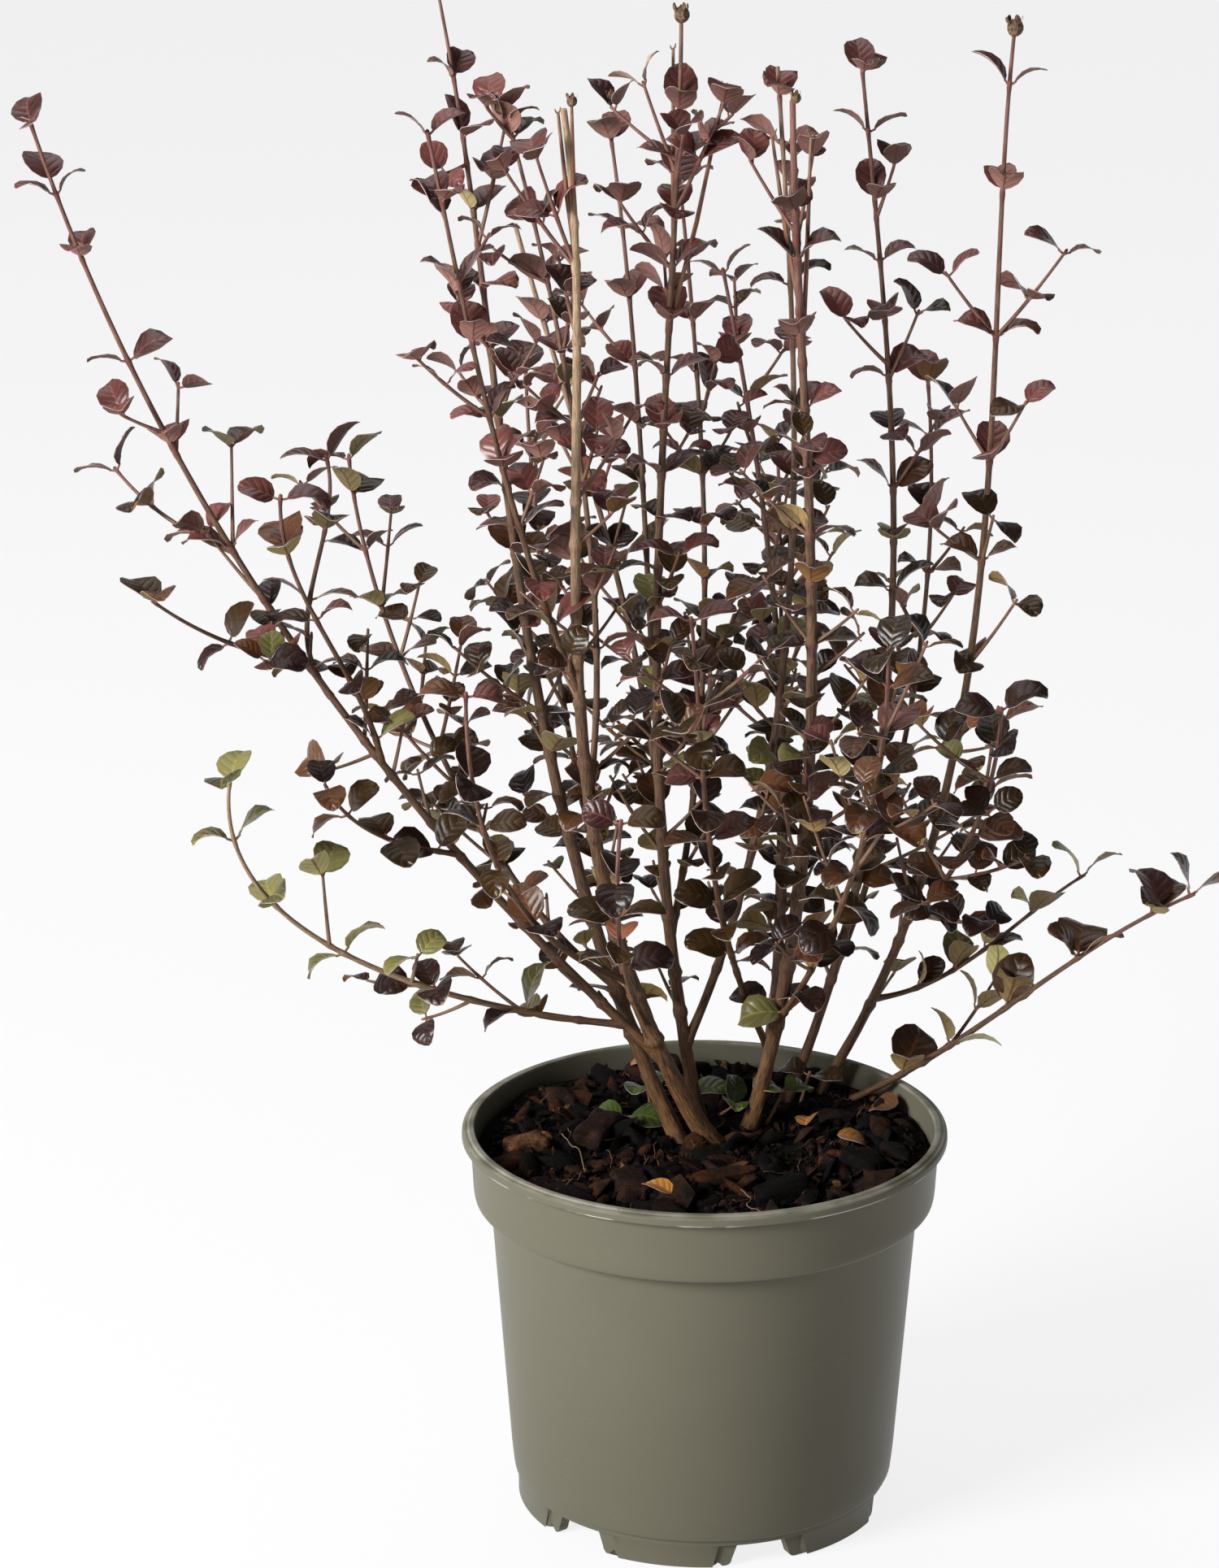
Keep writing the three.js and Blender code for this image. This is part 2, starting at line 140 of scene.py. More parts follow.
LEAF_RISE = (18, 44)  # degrees above level, low in the crown and at its top
LARGE_LEAF = 1.35  # times the length of the others
PETIOLE = 2.4
LINE_SPOTS = 150  # along a limb, where distances from it are taken

# What differs from that on some limbs
DENSE = (14, 23)  # from one pair of leaves to the next
STEEP = (52, 52)  # degrees that leaves rise
THIN = (0.7, 0.03)  # the share of leaves that also carry a shoot
SPARSE = (0.08, 0.05)  # the same where there are hardly any
SHORT_TWIG =dict(parent="far_left", shoots=SPARSE, spacing=(27, 33))

# Limbs, as a curve through a start, two handles and a tip. A limb with no parent rises from the soil.
# Where two numbers are given, they are for its foot and its tip, or low in the crown and at its top.
# bare is the share of its length that is plain wood, whip the bare stretch above its last leaves, and
# cut says that it ends in a sawn face. It tapers sooner the smaller ease is. age goes from 0 for ridged
# bark to 1 for smooth skin, and past the share paling of its length the wood bleaches as far as pale
# says. pairs are the places of its leaves where they don't follow from spacing, the top one turned
# round the limb by turned degrees, and size is how large they are.
LIMBS = [
    dict(name="trunk", radius=(4.3, 1.2), bare=1, ease=0.5, cut=True, age=(0, 0.6), pale=1,
         path=[(4, 12, 140), (-78, -13, 277), (-36, -37, 440), (-52, -62, 563)]),
    dict(name="left_tall", radius=(3.3, 0.6), bare=0.28, whip=30, age=(0, 0.9),
         path=[(-9, 12, 140), (-84, 20, 305), (-72, 26, 435), (-101, 34, 588)]),
    dict(name="centre_tall", radius=(2.8, 0.7), bare=0.32, whip=38, spacing=DENSE, age=(0.1, 0.8),
         path=[(-2, 34, 143), (-35, 20, 311), (-11, 6, 458), (-11, -8, 590)]),
    dict(name="right_front", radius=(3.2, 1.1), bare=0.26, whip=42, cut=True, age=(0, 1),
         path=[(17, 26, 140), (57, 3, 290), (32, -19, 437), (29, -42, 563)]),
    dict(name="inner_back", radius=(2.2, 0.7), bare=0.24,
         path=[(20, 38, 141), (42, 64, 248), (28, 92, 363), (5, 120, 470)]),
    dict(name="right_back", radius=(2.2, 0.7), bare=0.22, shoots=THIN,
         path=[(31, 50, 140), (91, 66, 286), (73, 80, 417), (58, 96, 553)]),
    dict(name="right_tall", radius=(2.2, 0.7), bare=0.3, whip=21, pairs=(134, 172, 203, 246, 287, 337, 393),
         path=[(44, 62, 141), (125, 43, 276), (101, 21, 454), (110, 0, 582)]),
    dict(name="low_right", radius=(1.6, 0.7), bare=0.3, size=1.16, rise=STEEP, pairs=(36, 62, 92, 132, 170),
         path=[(50, 53, 141), (104, 34, 171), (139, 11, 225), (186, -14, 256)]),
    dict(name="far_left", parent="trunk", radius=(2.1, 0.7), bare=0.64, turned=90,
         pairs=(211, 238, 266, 311, 347, 389, 414),
         path=[(-19, 4, 178), (-129, -4, 289), (-208, -12, 416), (-247, -20, 551)]),
    dict(name="low_left", parent="far_left", radius=(1.5, 0.7), bare=0.34, turned=90, age=(0.4, 0.6),
         pale=0.8, paling=0.1, pairs=(42, 80, 122, 158, 193), size=1.08,
         path=[(-34, 3, 191), (-78, -14, 204), (-189, -49, 239), (-175, -70, 317)]),
    dict(name="left_back", parent="left_tall", radius=(1.6, 0.7), bare=0.24,
         path=[(-34, 26, 207), (-87, 42, 232), (-137, 73, 341), (-142, 90, 401)]),
    dict(name="right_middle", parent="centre_tall", radius=(1.9, 0.8), bare=0.2, whip=12, cut=True,
         pale=0.4, path=[(-4, 32, 176), (46, 42, 299), (34, 52, 440), (25, 62, 559)]),
    dict(name="back_left_tall", parent="centre_tall", radius=(1.7, 0.7), bare=0.15,
         path=[(-11, 30, 198), (-25, 64, 315), (-23, 88, 420), (-39, 112, 523)]),
    dict(name="front_centre", parent="inner_back", radius=(1.5, 0.7), bare=0.22,
         path=[(19, 36, 173), (-4, -10, 248), (0, -54, 322), (-6, -100, 388)]),
    dict(name="back_centre", parent="centre_tall", radius=(1.5, 0.7), spacing=DENSE,
         path=[(-11, 28, 222), (6, 55, 313), (-1, 69, 415), (-12, 84, 512)]),
    dict(name="left_stub", parent="centre_tall", radius=(1.4, 0.9), whip=40, cut=True, pale=0.8,
         path=[(-13, 27, 246), (-20, 45, 335), (-54, 58, 424), (-75, 70, 497)]),
    dict(name="left_front", parent="trunk", radius=(1.4, 0.7),
         path=[(-45, -34, 335), (-75, -45, 409), (-87, -55, 485), (-100, -66, 556)]),
    dict(name="left_middle", parent="trunk", radius=(1.4, 0.7),
         path=[(-56, -20, 290), (-34, 5, 370), (-56, 18, 474), (-77, 30, 549)]),
    dict(SHORT_TWIG, name="far_left_front", radius=(1.2, 0.7),
         path=[(-124, -6, 303), (-129, -17, 344), (-161, -29, 376), (-157, -40, 417)]),
    dict(SHORT_TWIG, name="far_left_inner", radius=(1.2, 0.7),
         path=[(-145, -4, 328), (-167, 7, 354), (-137, 19, 387), (-146, 30, 415)]),
    dict(SHORT_TWIG, name="far_left_outer", radius=(1.1, 0.6),
         path=[(-154, -8, 341), (-172, -25, 352), (-189, -43, 365), (-203, -60, 382)]),
    dict(SHORT_TWIG, name="far_left_upper", radius=(1.1, 0.6),
         path=[(-179, -10, 387), (-198, 3, 391), (-214, 17, 398), (-227, 30, 410)]),
    dict(SHORT_TWIG, name="far_left_lower", radius=(1.1, 0.6),
         path=[(-96, -2, 265), (-116, -18, 274), (-134, -34, 284), (-142, -50, 309)]),
    dict(name="low_right_back", parent="right_tall", radius=(1.2, 0.6), pairs=(20, 37, 53, 78), rise=STEEP,
         path=[(68, 56, 187), (103, 71, 186), (125, 85, 212), (154, 100, 225)]),
    dict(name="right_shoulder", parent="right_tall", radius=(1.3, 0.7),
         path=[(78, 40, 220), (100, 8, 256), (110, -24, 301), (108, -56, 342)]),
    dict(name="front_right", parent="right_front", radius=(1.4, 0.7),
         path=[(30, 17, 190), (50, -30, 240), (66, -80, 310), (64, -112, 380)]),
    dict(name="front_left", parent="trunk", radius=(1.4, 0.7), pairs=(68, 90, 112, 135, 158),
         path=[(-33, -3, 212), (-66, -40, 240), (-88, -88, 290), (-86, -108, 362)]),
    dict(name="front_low", parent="trunk", radius=(1.4, 0.7), pairs=(96, 118, 140, 163),
         path=[(-25, 0, 196), (-26, -50, 224), (-36, -110, 260), (-30, -140, 325)]),
    dict(name="back_left", parent="left_tall", radius=(1.5, 0.7),
         path=[(-28, 18, 190), (-42, 60, 240), (-70, 115, 320), (-74, 140, 425)]),
    dict(name="back_right", parent="right_back", radius=(1.5, 0.7), shoots=THIN, spacing=(18, 38),
         path=[(50, 57, 196), (78, 95, 250), (96, 130, 330), (88, 142, 420)]),
    dict(name="back_low", parent="inner_back", radius=(1.4, 0.7),
         path=[(27, 51, 190), (30, 95, 235), (32, 150, 300), (28, 168, 390)]),
]

# Side twigs that stand out against the light, by their limb: how far along it they leave it, their tip,
# and the tint of their leaves where it is their own, or "bare" where they have lost them
SPRIGS = [
    ("far_left", (169, (-145, -15, 303)), (213, (-165, -15, 351)), (243, (-189, -8, 396)),
     (265, (-179, 2, 427)), (308, (-198, 0, 450)), (317, (-218, -18, 442))),
    ("low_left", (91, (-109, -38, 238), "green"), (129, (-143, -55, 276), "green")),
    ("right_tall", (134, (110, 20, 288)), (165, (112, 25, 303)), (180, (114, 15, 315), "russet"),
     (203, (118, 22, 362)), (246, (86, 32, 388)), (246, (108, 18, 396)), (287, (93, 32, 436)),
     (287, (119, 15, 441)), (337, (88, 25, 488)), (337, (132, 8, 500), "wine")),
    ("right_front", (377, (37, -20, 540)), (380, (14, -32, 540))),
    ("centre_tall", (375, (5, -12, 558)), (387, (-10, -25, 548)), (389, (-25, 0, 563), "dry"),
     (394, (-37, 10, 552)), (360, (-14, 4, 574), "bare"), (330, (5, 2, 560), "bare")),
    ("right_front", (330, (36, -30, 548), "bare"), (350, (22, -30, 548), "bare")),
    ("trunk", (380, (-54, -60, 561), "bare"), (395, (-49, -68, 566), "bare")),
    ("left_tall", (367, (-76, 28, 545)), (398, (-100, 20, 525))),
    ("trunk", (378, (-74, -50, 540)), (378, (-62, -62, 547))),
    ("right_back", (301, (81, 80, 462)), (307, (52, 80, 459)), (364, (71, 88, 518))),
]

# Leaves larger than the rest, that rise behind their limb with their faces to the front: the limb, how far
# along it they are, their heading, and their tint
LARGE_LEAVES = [
    ("low_right", 132, (0.2, 1, 0), "bronze"),
    ("low_right", 175, (-0.4, 1, 0), "wine"),
    ("centre_tall", 386, (0.15, 1, 0), "wine"),
    ("right_back", 425, (0.3, 1, 0), "wine"),
    ("far_left_front", 100, (-0.3, 1, 0), "bronze"),
    ("far_left", 418, (-0.6, 1, 0), "wine"),
    ("right_tall", 170, (0.9, 0.7, 0), "russet"),
    ("left_front", 196, (-0.8, 0.8, 0), "wine"),
]

# Green sprigs that rise straight from the mulch, as their foot, tip and tint
BASAL_SPRIGS = [
    ((-22, 34, 141), (-32, 20, 150), "fresh"),
    ((-20, 33, 141), (-23, 30, 159), "fresh"),
    ((-4, 40, 141), (-7, 38, 156), "fresh"),
    ((3, 38, 141), (12, 30, 151), "fresh"),
    ((24, 30, 141), (32, 32, 158), "fresh"),
    ((38, 52, 141), (42, 44, 160), "olive"),
]

# Leaves that have fallen on the mulch, by where they lie
FALLEN = [(40, 15), (52, 0), (73, 42), (-12, -56), (-30, 66)]

# Dry seed heads at the tips of twigs, as their middle and radius
SEED_HEADS = [
    ((-11, -8, 588.5), 3.0),
    ((110, 0, 583), 3.2),
    ((-78, 28, 549), 3.0),
    ((30, -42, 564), 2.0),
    ((-37, 10, 556), 1.8),
    ((-49, -69, 567), 2.0),
]

# Leaf colours, as the eye sees them on a scale of 255: the glossy upper face, then the dull lower one
TINTS = {
    "wine": ((74, 41, 37), (112, 80, 71)),
    "plum": ((32, 17, 12), (106, 76, 44)),
    "olive": ((42, 28, 10), (130, 116, 76)),
    "bronze": ((60, 36, 19), (124, 104, 64)),
    "green": ((84, 80, 46), (156, 150, 100)),
    "russet": ((98, 58, 40), (138, 98, 76)),
    "fresh": ((46, 56, 20), (92, 104, 52)),
    "dry": ((128, 104, 92), (152, 130, 118)),
    "fallen": ((120, 80, 34), (100, 68, 38)),
}

# Zones of the crown, as how high in it each begins, and how the tints are dealt out there and on the low
# limbs: a leaf takes the first tint whose number is above its lot
ZONES = {"top": 0.6, "upper": 0.44, "lower": 0.14, "foot": -1}
ZONE_SPAN = 400  # millimetres above the foot of the crown that count as 1
LOTS = {
    "top": {"wine": 0.95, "olive": 1},
    "upper": {"russet": 0.01, "wine": 0.35, "bronze": 0.55, "plum": 0.75, "olive": 1},
    "lower": {"russet": 0.01, "plum": 0.3, "bronze": 0.58, "olive": 0.97, "green": 1},
    "foot": {"russet": 0.01, "plum": 0.6, "bronze": 0.78, "olive": 0.98, "green": 1},
    "low_right": {"bronze": 0.6, "green": 0.75, "olive": 1},
    "low_left": {"green": 0.3, "plum": 0.9, "olive": 1},
    "low_left_tip": {"green": 0.8, "plum": 0.9, "olive": 1},
}
LOW_LEFT_TIP = 232  # the height at which that limb's tip begins

# Mulch colours and each one's share of the chips
CHIPS = {
    "purple": ((35, 21, 15), 0.22),
    "red": ((46, 25, 13), 0.15),
    "dark": ((6, 4, 3), 0.47),
    "grey": ((19, 13, 9), 0.13),
    "tan": ((80, 54, 33), 0.03),
}

# Large pieces of bark that lie on top, as their middle, length, breadth, thickness, turn and colour
SLABS = [
    ((-42, 10), 24, 13, 9, 68, "purple"),
    ((-70, -5), 16, 11, 7, 20, "tan"),
    ((-28, -43), 19, 14, 9, 100, "purple"),
    ((-76, -20), 17, 10, 6, 40, "red"),
    ((6, -28), 26, 7, 5, 8, "red"),
    ((62, -18), 18, 12, 7, 150, "dark"),
    ((-12, -70), 20, 12, 7, 120, "grey"),
    ((30, -48), 22, 12, 8, 30, "dark"),
    ((70, 14), 20, 8, 6, 95, "red"),
    ((-52, -52), 20, 11, 7, 140, "grey"),
    ((-20, 70), 22, 13, 8, 15, "purple"),
    ((40, 64), 20, 12, 8, 75, "dark"),
]

# Long root fibres on the mulch, as the spots they pass
LONG_FIBRES = [
    [(-56, 3), (-49, -14), (-46, -30), (-49, -44), (-56, -54)],
    [(56, 4), (53, -3), (49, -10)],
    [(14, -52), (18, -60), (16, -68), (22, -76)],
]

# The camera and the lights, in metres and degrees, with the lens in millimetres
CAMERA_LENS = 107.3
CAMERA_BACK, CAMERA_HEIGHT = 1.703, 0.834
CAMERA_PITCH, CAMERA_TURN = 72.41, 1.25
LIGHTS = [  # the name, place, target, size and power
    ("key", (-1.9, -1.5, 1.3), (0, 0, 0.25), 1.0, 150),
    ("top", (-0.4, 0.8, 2.2), (0, 0, 0.3), 1.8, 22),
]


# Materials, whose colours are given as the eye sees them on a scale of 255
def linear(shade):
    """A colour in the renderer's linear values."""
    def value_of(seen):
        share = min(seen, 255) / 255
        return share / 12.92 if share <= 0.04045 else ((share + 0.055) / 1.055) ** 2.4
    return (*map(value_of, shade), 1)


def scaled(shade, factor):
    return tuple(value * factor for value in shade)


class Finish:
    """A material that is put together node by node."""

    def __init__(self, name, roughness=0.5, specular=0.5):
        self.material = bpy.data.materials.new(name)
        self.material.use_nodes = True
        self.tree = self.material.node_tree
        self.shader = self.tree.nodes["Principled BSDF"]
        self.shader.inputs["Roughness"].default_value = roughness
        self.shader.inputs["Specular IOR Level"].default_value = specular

    def node(self, kind, settings=None, **inputs):
        made = self.tree.nodes.new("ShaderNode" + kind)
        for name, value in (settings or {}).items():
            setattr(made, name, value)
        for name, value in inputs.items():
            self.feed(made.inputs[name.replace("_", " ")], value)
        return made

    def feed(self, socket, value):
        if isinstance(value, bpy.types.NodeSocket):
            self.tree.links.new(value, socket)
        else:
            socket.default_value = value

    def place(self, across=1.0, up=1.0):
        """The spot in millimetres, with the pattern drawn out by less than 1 across or up."""
        spot = self.node("TexCoord").outputs["Object"]
        size = (across / MM, across / MM, up / MM)
        return self.node("Mapping", Vector=spot, Scale=size).outputs["Vector"]

    def trait(self, name, output="Fac"):
        return self.node("Attribute", {"attribute_name": name}).outputs[output]

    def noise(self, vector, scale, detail=3.0, rough=0.55):
        made = self.node("TexNoise", Vector=vector, Scale=scale, Detail=detail, Roughness=rough)
        return made.outputs["Fac"]

    def ramp(self, factor, positions, shades):
        made = self.node("ValToRGB", Fac=factor)
        elements = made.color_ramp.elements
        while len(elements) < len(shades):
            elements.new(0.5)
        for element, position, shade in zip(elements, positions, shades):
            element.position = position
            element.color = linear(shade)
        return made.outputs["Color"]

    def window(self, factor, low, high):
        """0 below low, 1 above high, and smooth between."""
        settings = {"interpolation_type": "SMOOTHSTEP"}
        made = self.node("MapRange", settings, Value=factor, From_Min=low, From_Max=high)
        return made.outputs["Result"]

    def math(self, operation, first, second=0.0):
        made = self.node("Math", {"operation": operation})
        self.feed(made.inputs[0], first)
        self.feed(made.inputs[1], second)
        return made.outputs[0]

    def times(self, first, *others):
        for other in others:
            first = self.math("MULTIPLY", first, other)
        return first

    def plus(self, first, second):
        return self.math("ADD", first, second)

    def rest(self, share):
        """What a share leaves of 1."""
        return self.math("SUBTRACT", 1.0, share)

    def mix(self, factor, first, second):
        first, second = (linear(shade) if isinstance(shade, tuple) else shade for shade in (first, second))
        return self.node("MixRGB", Fac=factor, Color1=first, Color2=second).outputs["Color"]

    def over(self, base, shade, *shares):
        """The base with a shade laid over it, as thick as the product of these shares."""
        return self.mix(self.times(*shares), base, shade)

    def bump(self, height, strength, depth, below=None):
        made = self.node("Bump", Height=height, Strength=strength, Distance=depth * MM)
        if below is not None:
            self.feed(made.inputs["Normal"], below)
        return made.outputs["Normal"]

    def finish(self, **inputs):
        for name, value in inputs.items():
            self.feed(self.shader.inputs[name.replace("_", " ")], value)
        return self.material


def pot_plastic():
    """Grey-green moulded plastic with a satin skin, flow marks, scuffs, a little dirt, darker towards the
    bottom, and on the lip a worn band and a flash line, both also lighter as painted highlights.
    """
    made = Finish("pot_plastic", specular=0.12)
    place = made.place()
    cloudy = made.noise(place, 0.02)
    flow = made.noise(made.place(across=0.25, up=1.6), 0.06, 4, 0.6)
    grain = made.noise(place, 2.2, 2)
    height = made.node("SeparateXYZ", Vector=place).outputs["Z"]

    def below_lip(low, high):
        return made.window(height, POT_HEIGHT - low, POT_HEIGHT - high)

    base = made.mix(cloudy, (83, 81, 68), (89, 86, 73))
    base = made.over(base, (97, 94, 81), flow, 0.25)
    # Darker towards the bottom.
    toward_bottom = made.rest(made.window(height, 0, POT_HEIGHT - 20))
    base = made.over(base, (58, 56, 45), toward_bottom, 0.3)
    # A lighter band along the lip: partly wear, partly a painted highlight.
    wear_and_highlight = made.window(made.noise(place, 0.06, 2, 0.5), 0.3, 0.65)
    base = made.over(base, (150, 148, 136), wear_and_highlight, below_lip(1.6, 0.6), 0.5)
    # A light line along the lip's lower edge, broken up and only on the outside: partly moulding flash,
    # partly a painted highlight.
    edge = made.math("SUBTRACT", below_lip(4.6, 4.1), below_lip(3.8, 3.3))
    broken = made.window(made.noise(place, 0.03, 3, 0.6), 0.48, 0.56)
    middle = (-AXIS.x / MM, -AXIS.y / MM, 0)
    from_axis = made.node("Mapping", Vector=place, Location=middle, Scale=(1, 1, 0)).outputs["Vector"]
    radius = made.node("VectorMath", {"operation": "LENGTH"}, Vector=from_axis).outputs["Value"]
    outer = made.window(radius, LIP_RADIUS - 2, LIP_RADIUS - 1)
    base = made.over(base, (196, 194, 184), edge, broken, outer, 0.6)
    specks = made.window(made.noise(place, 0.55, 2, 0.7), 0.70, 0.74)
    near_lip = made.plus(made.times(below_lip(9, 3), 0.6), 0.1)
    base = made.over(base, (40, 34, 26), specks, near_lip)
    scuffs = made.window(made.noise(made.place(across=0.3, up=2.5), 0.5, 5, 0.7), 0.60, 0.78)
    base = made.over(base, (168, 165, 152), scuffs, 0.12)
    rough = made.plus(made.times(cloudy, 0.14), 0.33)
    normal = made.bump(flow, 0.12, 0.5, made.bump(grain, 0.10, 0.15))
    return made.finish(Base_Color=base, Roughness=rough, Normal=normal)


def mulch(name, shade, wet=0.5):
    """Damp bark mulch, with darker pores, a fibrous relief and glints where it is wet."""
    made = Finish(name, specular=0.09)
    place = made.place()
    cloud = made.noise(place, 0.16, 4, 0.6)
    pores = made.noise(place, 1.1, 4, 0.7)
    base = made.mix(made.window(cloud, 0.3, 0.7), scaled(shade, 0.4), scaled(shade, 1.25))
    base = made.over(base, scaled(shade, 0.25), made.window(pores, 0.50, 0.66))
    glints = made.window(made.noise(place, 0.8, 2), 0.60, 0.68)
    rough = made.math("SUBTRACT", 0.85, made.times(glints, wet))
    return made.finish(Base_Color=base, Roughness=rough, Normal=made.bump(pores, 0.9, 0.6))


def bark():
    """Wood that goes from ridged golden-brown bark at the foot to smooth reddish skin at the tips."""
    made = Finish("bark", specular=0.4)
    age = made.trait("age")
    grain = made.trait("grain", "Vector")
    drawn = made.node("Mapping", Vector=grain, Scale=(2.2, 2.2, 0.16)).outputs["Vector"]
    streaks = made.noise(drawn, 1.0, 5, 0.7)
    speckle = made.noise(grain, 2.4, 3, 0.7)
    ages = (0, 0.2, 0.65, 1)
    light = made.ramp(age, ages, ((108, 73, 34), (92, 61, 34), (112, 82, 58), (124, 84, 73)))
    dark = made.ramp(age, ages, ((30, 19, 10), (38, 25, 15), (60, 42, 32), (88, 52, 46)))
    streaked = made.window(streaks, 0.36, 0.62)
    bleached = made.mix(streaked, (112, 88, 66), (158, 134, 106))
    base = made.over(made.mix(streaked, dark, light), bleached, made.trait("pale"))
    base = made.over(base, (160, 134, 112), made.window(speckle, 0.58, 0.74), 0.2)
    base = made.over(base, (52, 36, 36), made.trait("dusk"))
    base = made.over(base, (112, 44, 34), made.trait("blush"))
    normal = made.bump(speckle, 0.3, 0.15, made.bump(streaks, 0.8, 0.4))
    return made.finish(Base_Color=base, Roughness=0.62, Normal=normal)


def cut_wood():
    """The pale sawn end of a stem, with darker patches."""
    made = Finish("cut_wood", roughness=0.8, specular=0.3)
    mottle = made.noise(made.place(), 1.6, 4, 0.7)
    base = made.mix(made.window(mottle, 0.35, 0.65), (112, 80, 58), (186, 156, 128))
    return made.finish(Base_Color=base, Normal=made.bump(mottle, 0.6, 0.2))


def leaf_veins(made):
    """How near a spot is to a vein, and how far the blade sinks there, from the leaf's own map."""
    spot = made.node("SeparateXYZ", Vector=made.node("TexCoord").outputs["UV"])
    out = made.math("ABSOLUTE", made.math("SUBTRACT", made.times(spot.outputs["Y"], 2.0), 1.0))
    slant = made.math("SUBTRACT", spot.outputs["X"], made.times(out, 0.3))
    wave = made.math("FRACT", made.times(slant, 4.6))
    nearness = made.math("ABSOLUTE", made.math("SUBTRACT", wave, 0.5))
    fading = made.rest(made.window(out, 0.6, 0.98))
    side = made.times(made.window(nearness, 0.40, 0.49), fading, 0.7)
    middle = made.rest(made.window(out, 0.03, 0.11))
    valley = made.times(nearness, nearness, fading, 3.0)
    trough = made.times(made.rest(made.window(out, 0.0, 0.4)), 0.5)
    return made.math("MAXIMUM", side, middle), made.plus(valley, trough)


def leaf_tone(made, shade, low, high):
    """The leaf's own base colour, a little lighter or darker from leaf to leaf and over the blade."""
    cloud = made.noise(made.place(), 0.12, 3)
    tone = made.plus(made.times(cloud, 0.6), made.times(made.trait("shade"), 0.7))
    return made.mix(made.window(tone, 0.15, 1.1), scaled(shade, low), scaled(shade, high)), cloud


def leaf_upper(name, shade):
    """A glossy leathery face, quilted between its side veins."""
    made = Finish("leaf_" + name + "_upper", specular=0.3)
    ribs, sunken = leaf_veins(made)
    base, cloud = leaf_tone(made, shade, 0.6, 1.3)
    base = made.over(base, scaled(shade, 1.7), ribs, 0.35)
    flecks = made.window(made.noise(made.place(), 1.4, 2, 0.6), 0.66, 0.72)
    base = made.over(base, (150, 128, 124), flecks, 0.25)
    rough = made.plus(made.times(cloud, 0.2), 0.25)
    return made.finish(Base_Color=base, Roughness=rough, Normal=made.bump(sunken, 0.55, -0.5))


def leaf_lower(name, shade):
    """A dull face with a dark red midrib and side veins standing out of it."""
    made = Finish("leaf_" + name + "_lower", roughness=0.6, specular=0.25)
    ribs, sunken = leaf_veins(made)
    base, _ = leaf_tone(made, shade, 0.72, 1.14)
    base = made.over(base, (78, 32, 30), ribs, 0.75)
    return made.finish(Base_Color=base, Normal=made.bump(sunken, 0.4, 0.4))


def leaf_margin():
    """The thin rim round each leaf, painted pale as a highlight where it catches the light."""
    made = Finish("leaf_margin", roughness=0.45, specular=0.4)
    cloud = made.noise(made.place(), 0.2, 2)
    return made.finish(Base_Color=made.mix(cloud, (112, 82, 78), (172, 152, 146)))


def studio_floor():
    """A plain near-white floor, a little bright of itself so that it reads white."""
    made = Finish("studio_floor", roughness=0.9, specular=0.1)
    return made.finish(Base_Color=linear((90, 90, 90)), Emission_Color=(1, 1, 1, 1), Emission_Strength=0.84)


# Meshes from arrays: points in millimetres from the pot's axis, faces in blocks of one size
class Gathered:
    """Many small closed shapes that are joined into one piece."""

    def __init__(self, traits=()):
        self.points = []
        self.blocks = []
        self.count = 0
        self.traits = {name: [] for name in traits}

    def add(self, points, blocks, **traits):
        """blocks holds tuples of corner numbers, a material number and the corners' map places or None."""
        points = np.asarray(points, float)
        self.points.append(points)
        for corners, material, places in blocks:
            self.blocks.append((corners + self.count, material, places))
        for name, values in self.traits.items():
            given = np.asarray(traits.get(name, 0.0), float)
            shape = (len(points), 3) if name == "grain" else (len(points),)
            values.append(np.broadcast_to(given, shape))
        self.count += len(points)

    def piece(self, name, materials, sharp=None):
        """All of it as one mesh, smooth but for edges sharper than this many degrees if they are given."""
        points = np.concatenate(self.points) * MM + np.array(AXIS)
        mesh = bpy.data.meshes.new(name)
        mesh.vertices.add(len(points))
        mesh.vertices.foreach_set("co", points.ravel())
        sizes = np.concatenate([np.full(len(corners), corners.shape[1]) for corners, _, _ in self.blocks])
        loops = np.concatenate([corners.ravel() for corners, _, _ in self.blocks])
        mesh.loops.add(len(loops))
        mesh.loops.foreach_set("vertex_index", loops)
        mesh.polygons.add(len(sizes))
        mesh.polygons.foreach_set("loop_start", np.concatenate([[0], np.cumsum(sizes)[:-1]]))
        owners = [np.full(len(corners), material) for corners, material, _ in self.blocks]
        mesh.polygons.foreach_set("material_index", np.concatenate(owners))
        mesh.update(calc_edges=True)
        if self.blocks[0][2] is not None:
            places = np.concatenate([places.ravel() for _, _, places in self.blocks])
            mesh.uv_layers.new(name="map").uv.foreach_set("vector", places)
        for trait, values in self.traits.items():
            kind, field = ("FLOAT_VECTOR", "vector") if trait == "grain" else ("FLOAT", "value")
            attribute = mesh.attributes.new(trait, kind, "POINT")
            attribute.data.foreach_set(field, np.concatenate(values).ravel())
        for material in materials:
            mesh.materials.append(material)
        made = bpy.data.objects.new(name, mesh)
        bpy.context.scene.collection.objects.link(made)
        if sharp:
            smooth(made, sharp)
        return made


def smooth(made, degrees):
    """Smooth shading that keeps edges sharper than this angle."""
    select_only(made)
    bpy.ops.object.shade_smooth_by_angle(angle=math.radians(degrees))


def select_only(made):
    bpy.ops.object.select_all(action="DESELECT")
    made.select_set(True)
    bpy.context.view_layer.objects.active = made


def unit(vector):
    return vector / np.linalg.norm(vector)


def lerp(first, second, share):
    return first + (second - first) * share


def between(reach, reaches, spots):
    """The spot at a reach, or at each of several, on the line through spots at known reaches."""
    return np.stack([np.interp(reach, reaches, column) for column in np.asarray(spots, float).T], axis=-1)


def distances(points, line):
    """How far each point is from the nearest spot of a line."""
    return np.linalg.norm(points[:, None] - line[None], axis=2).min(axis=1)


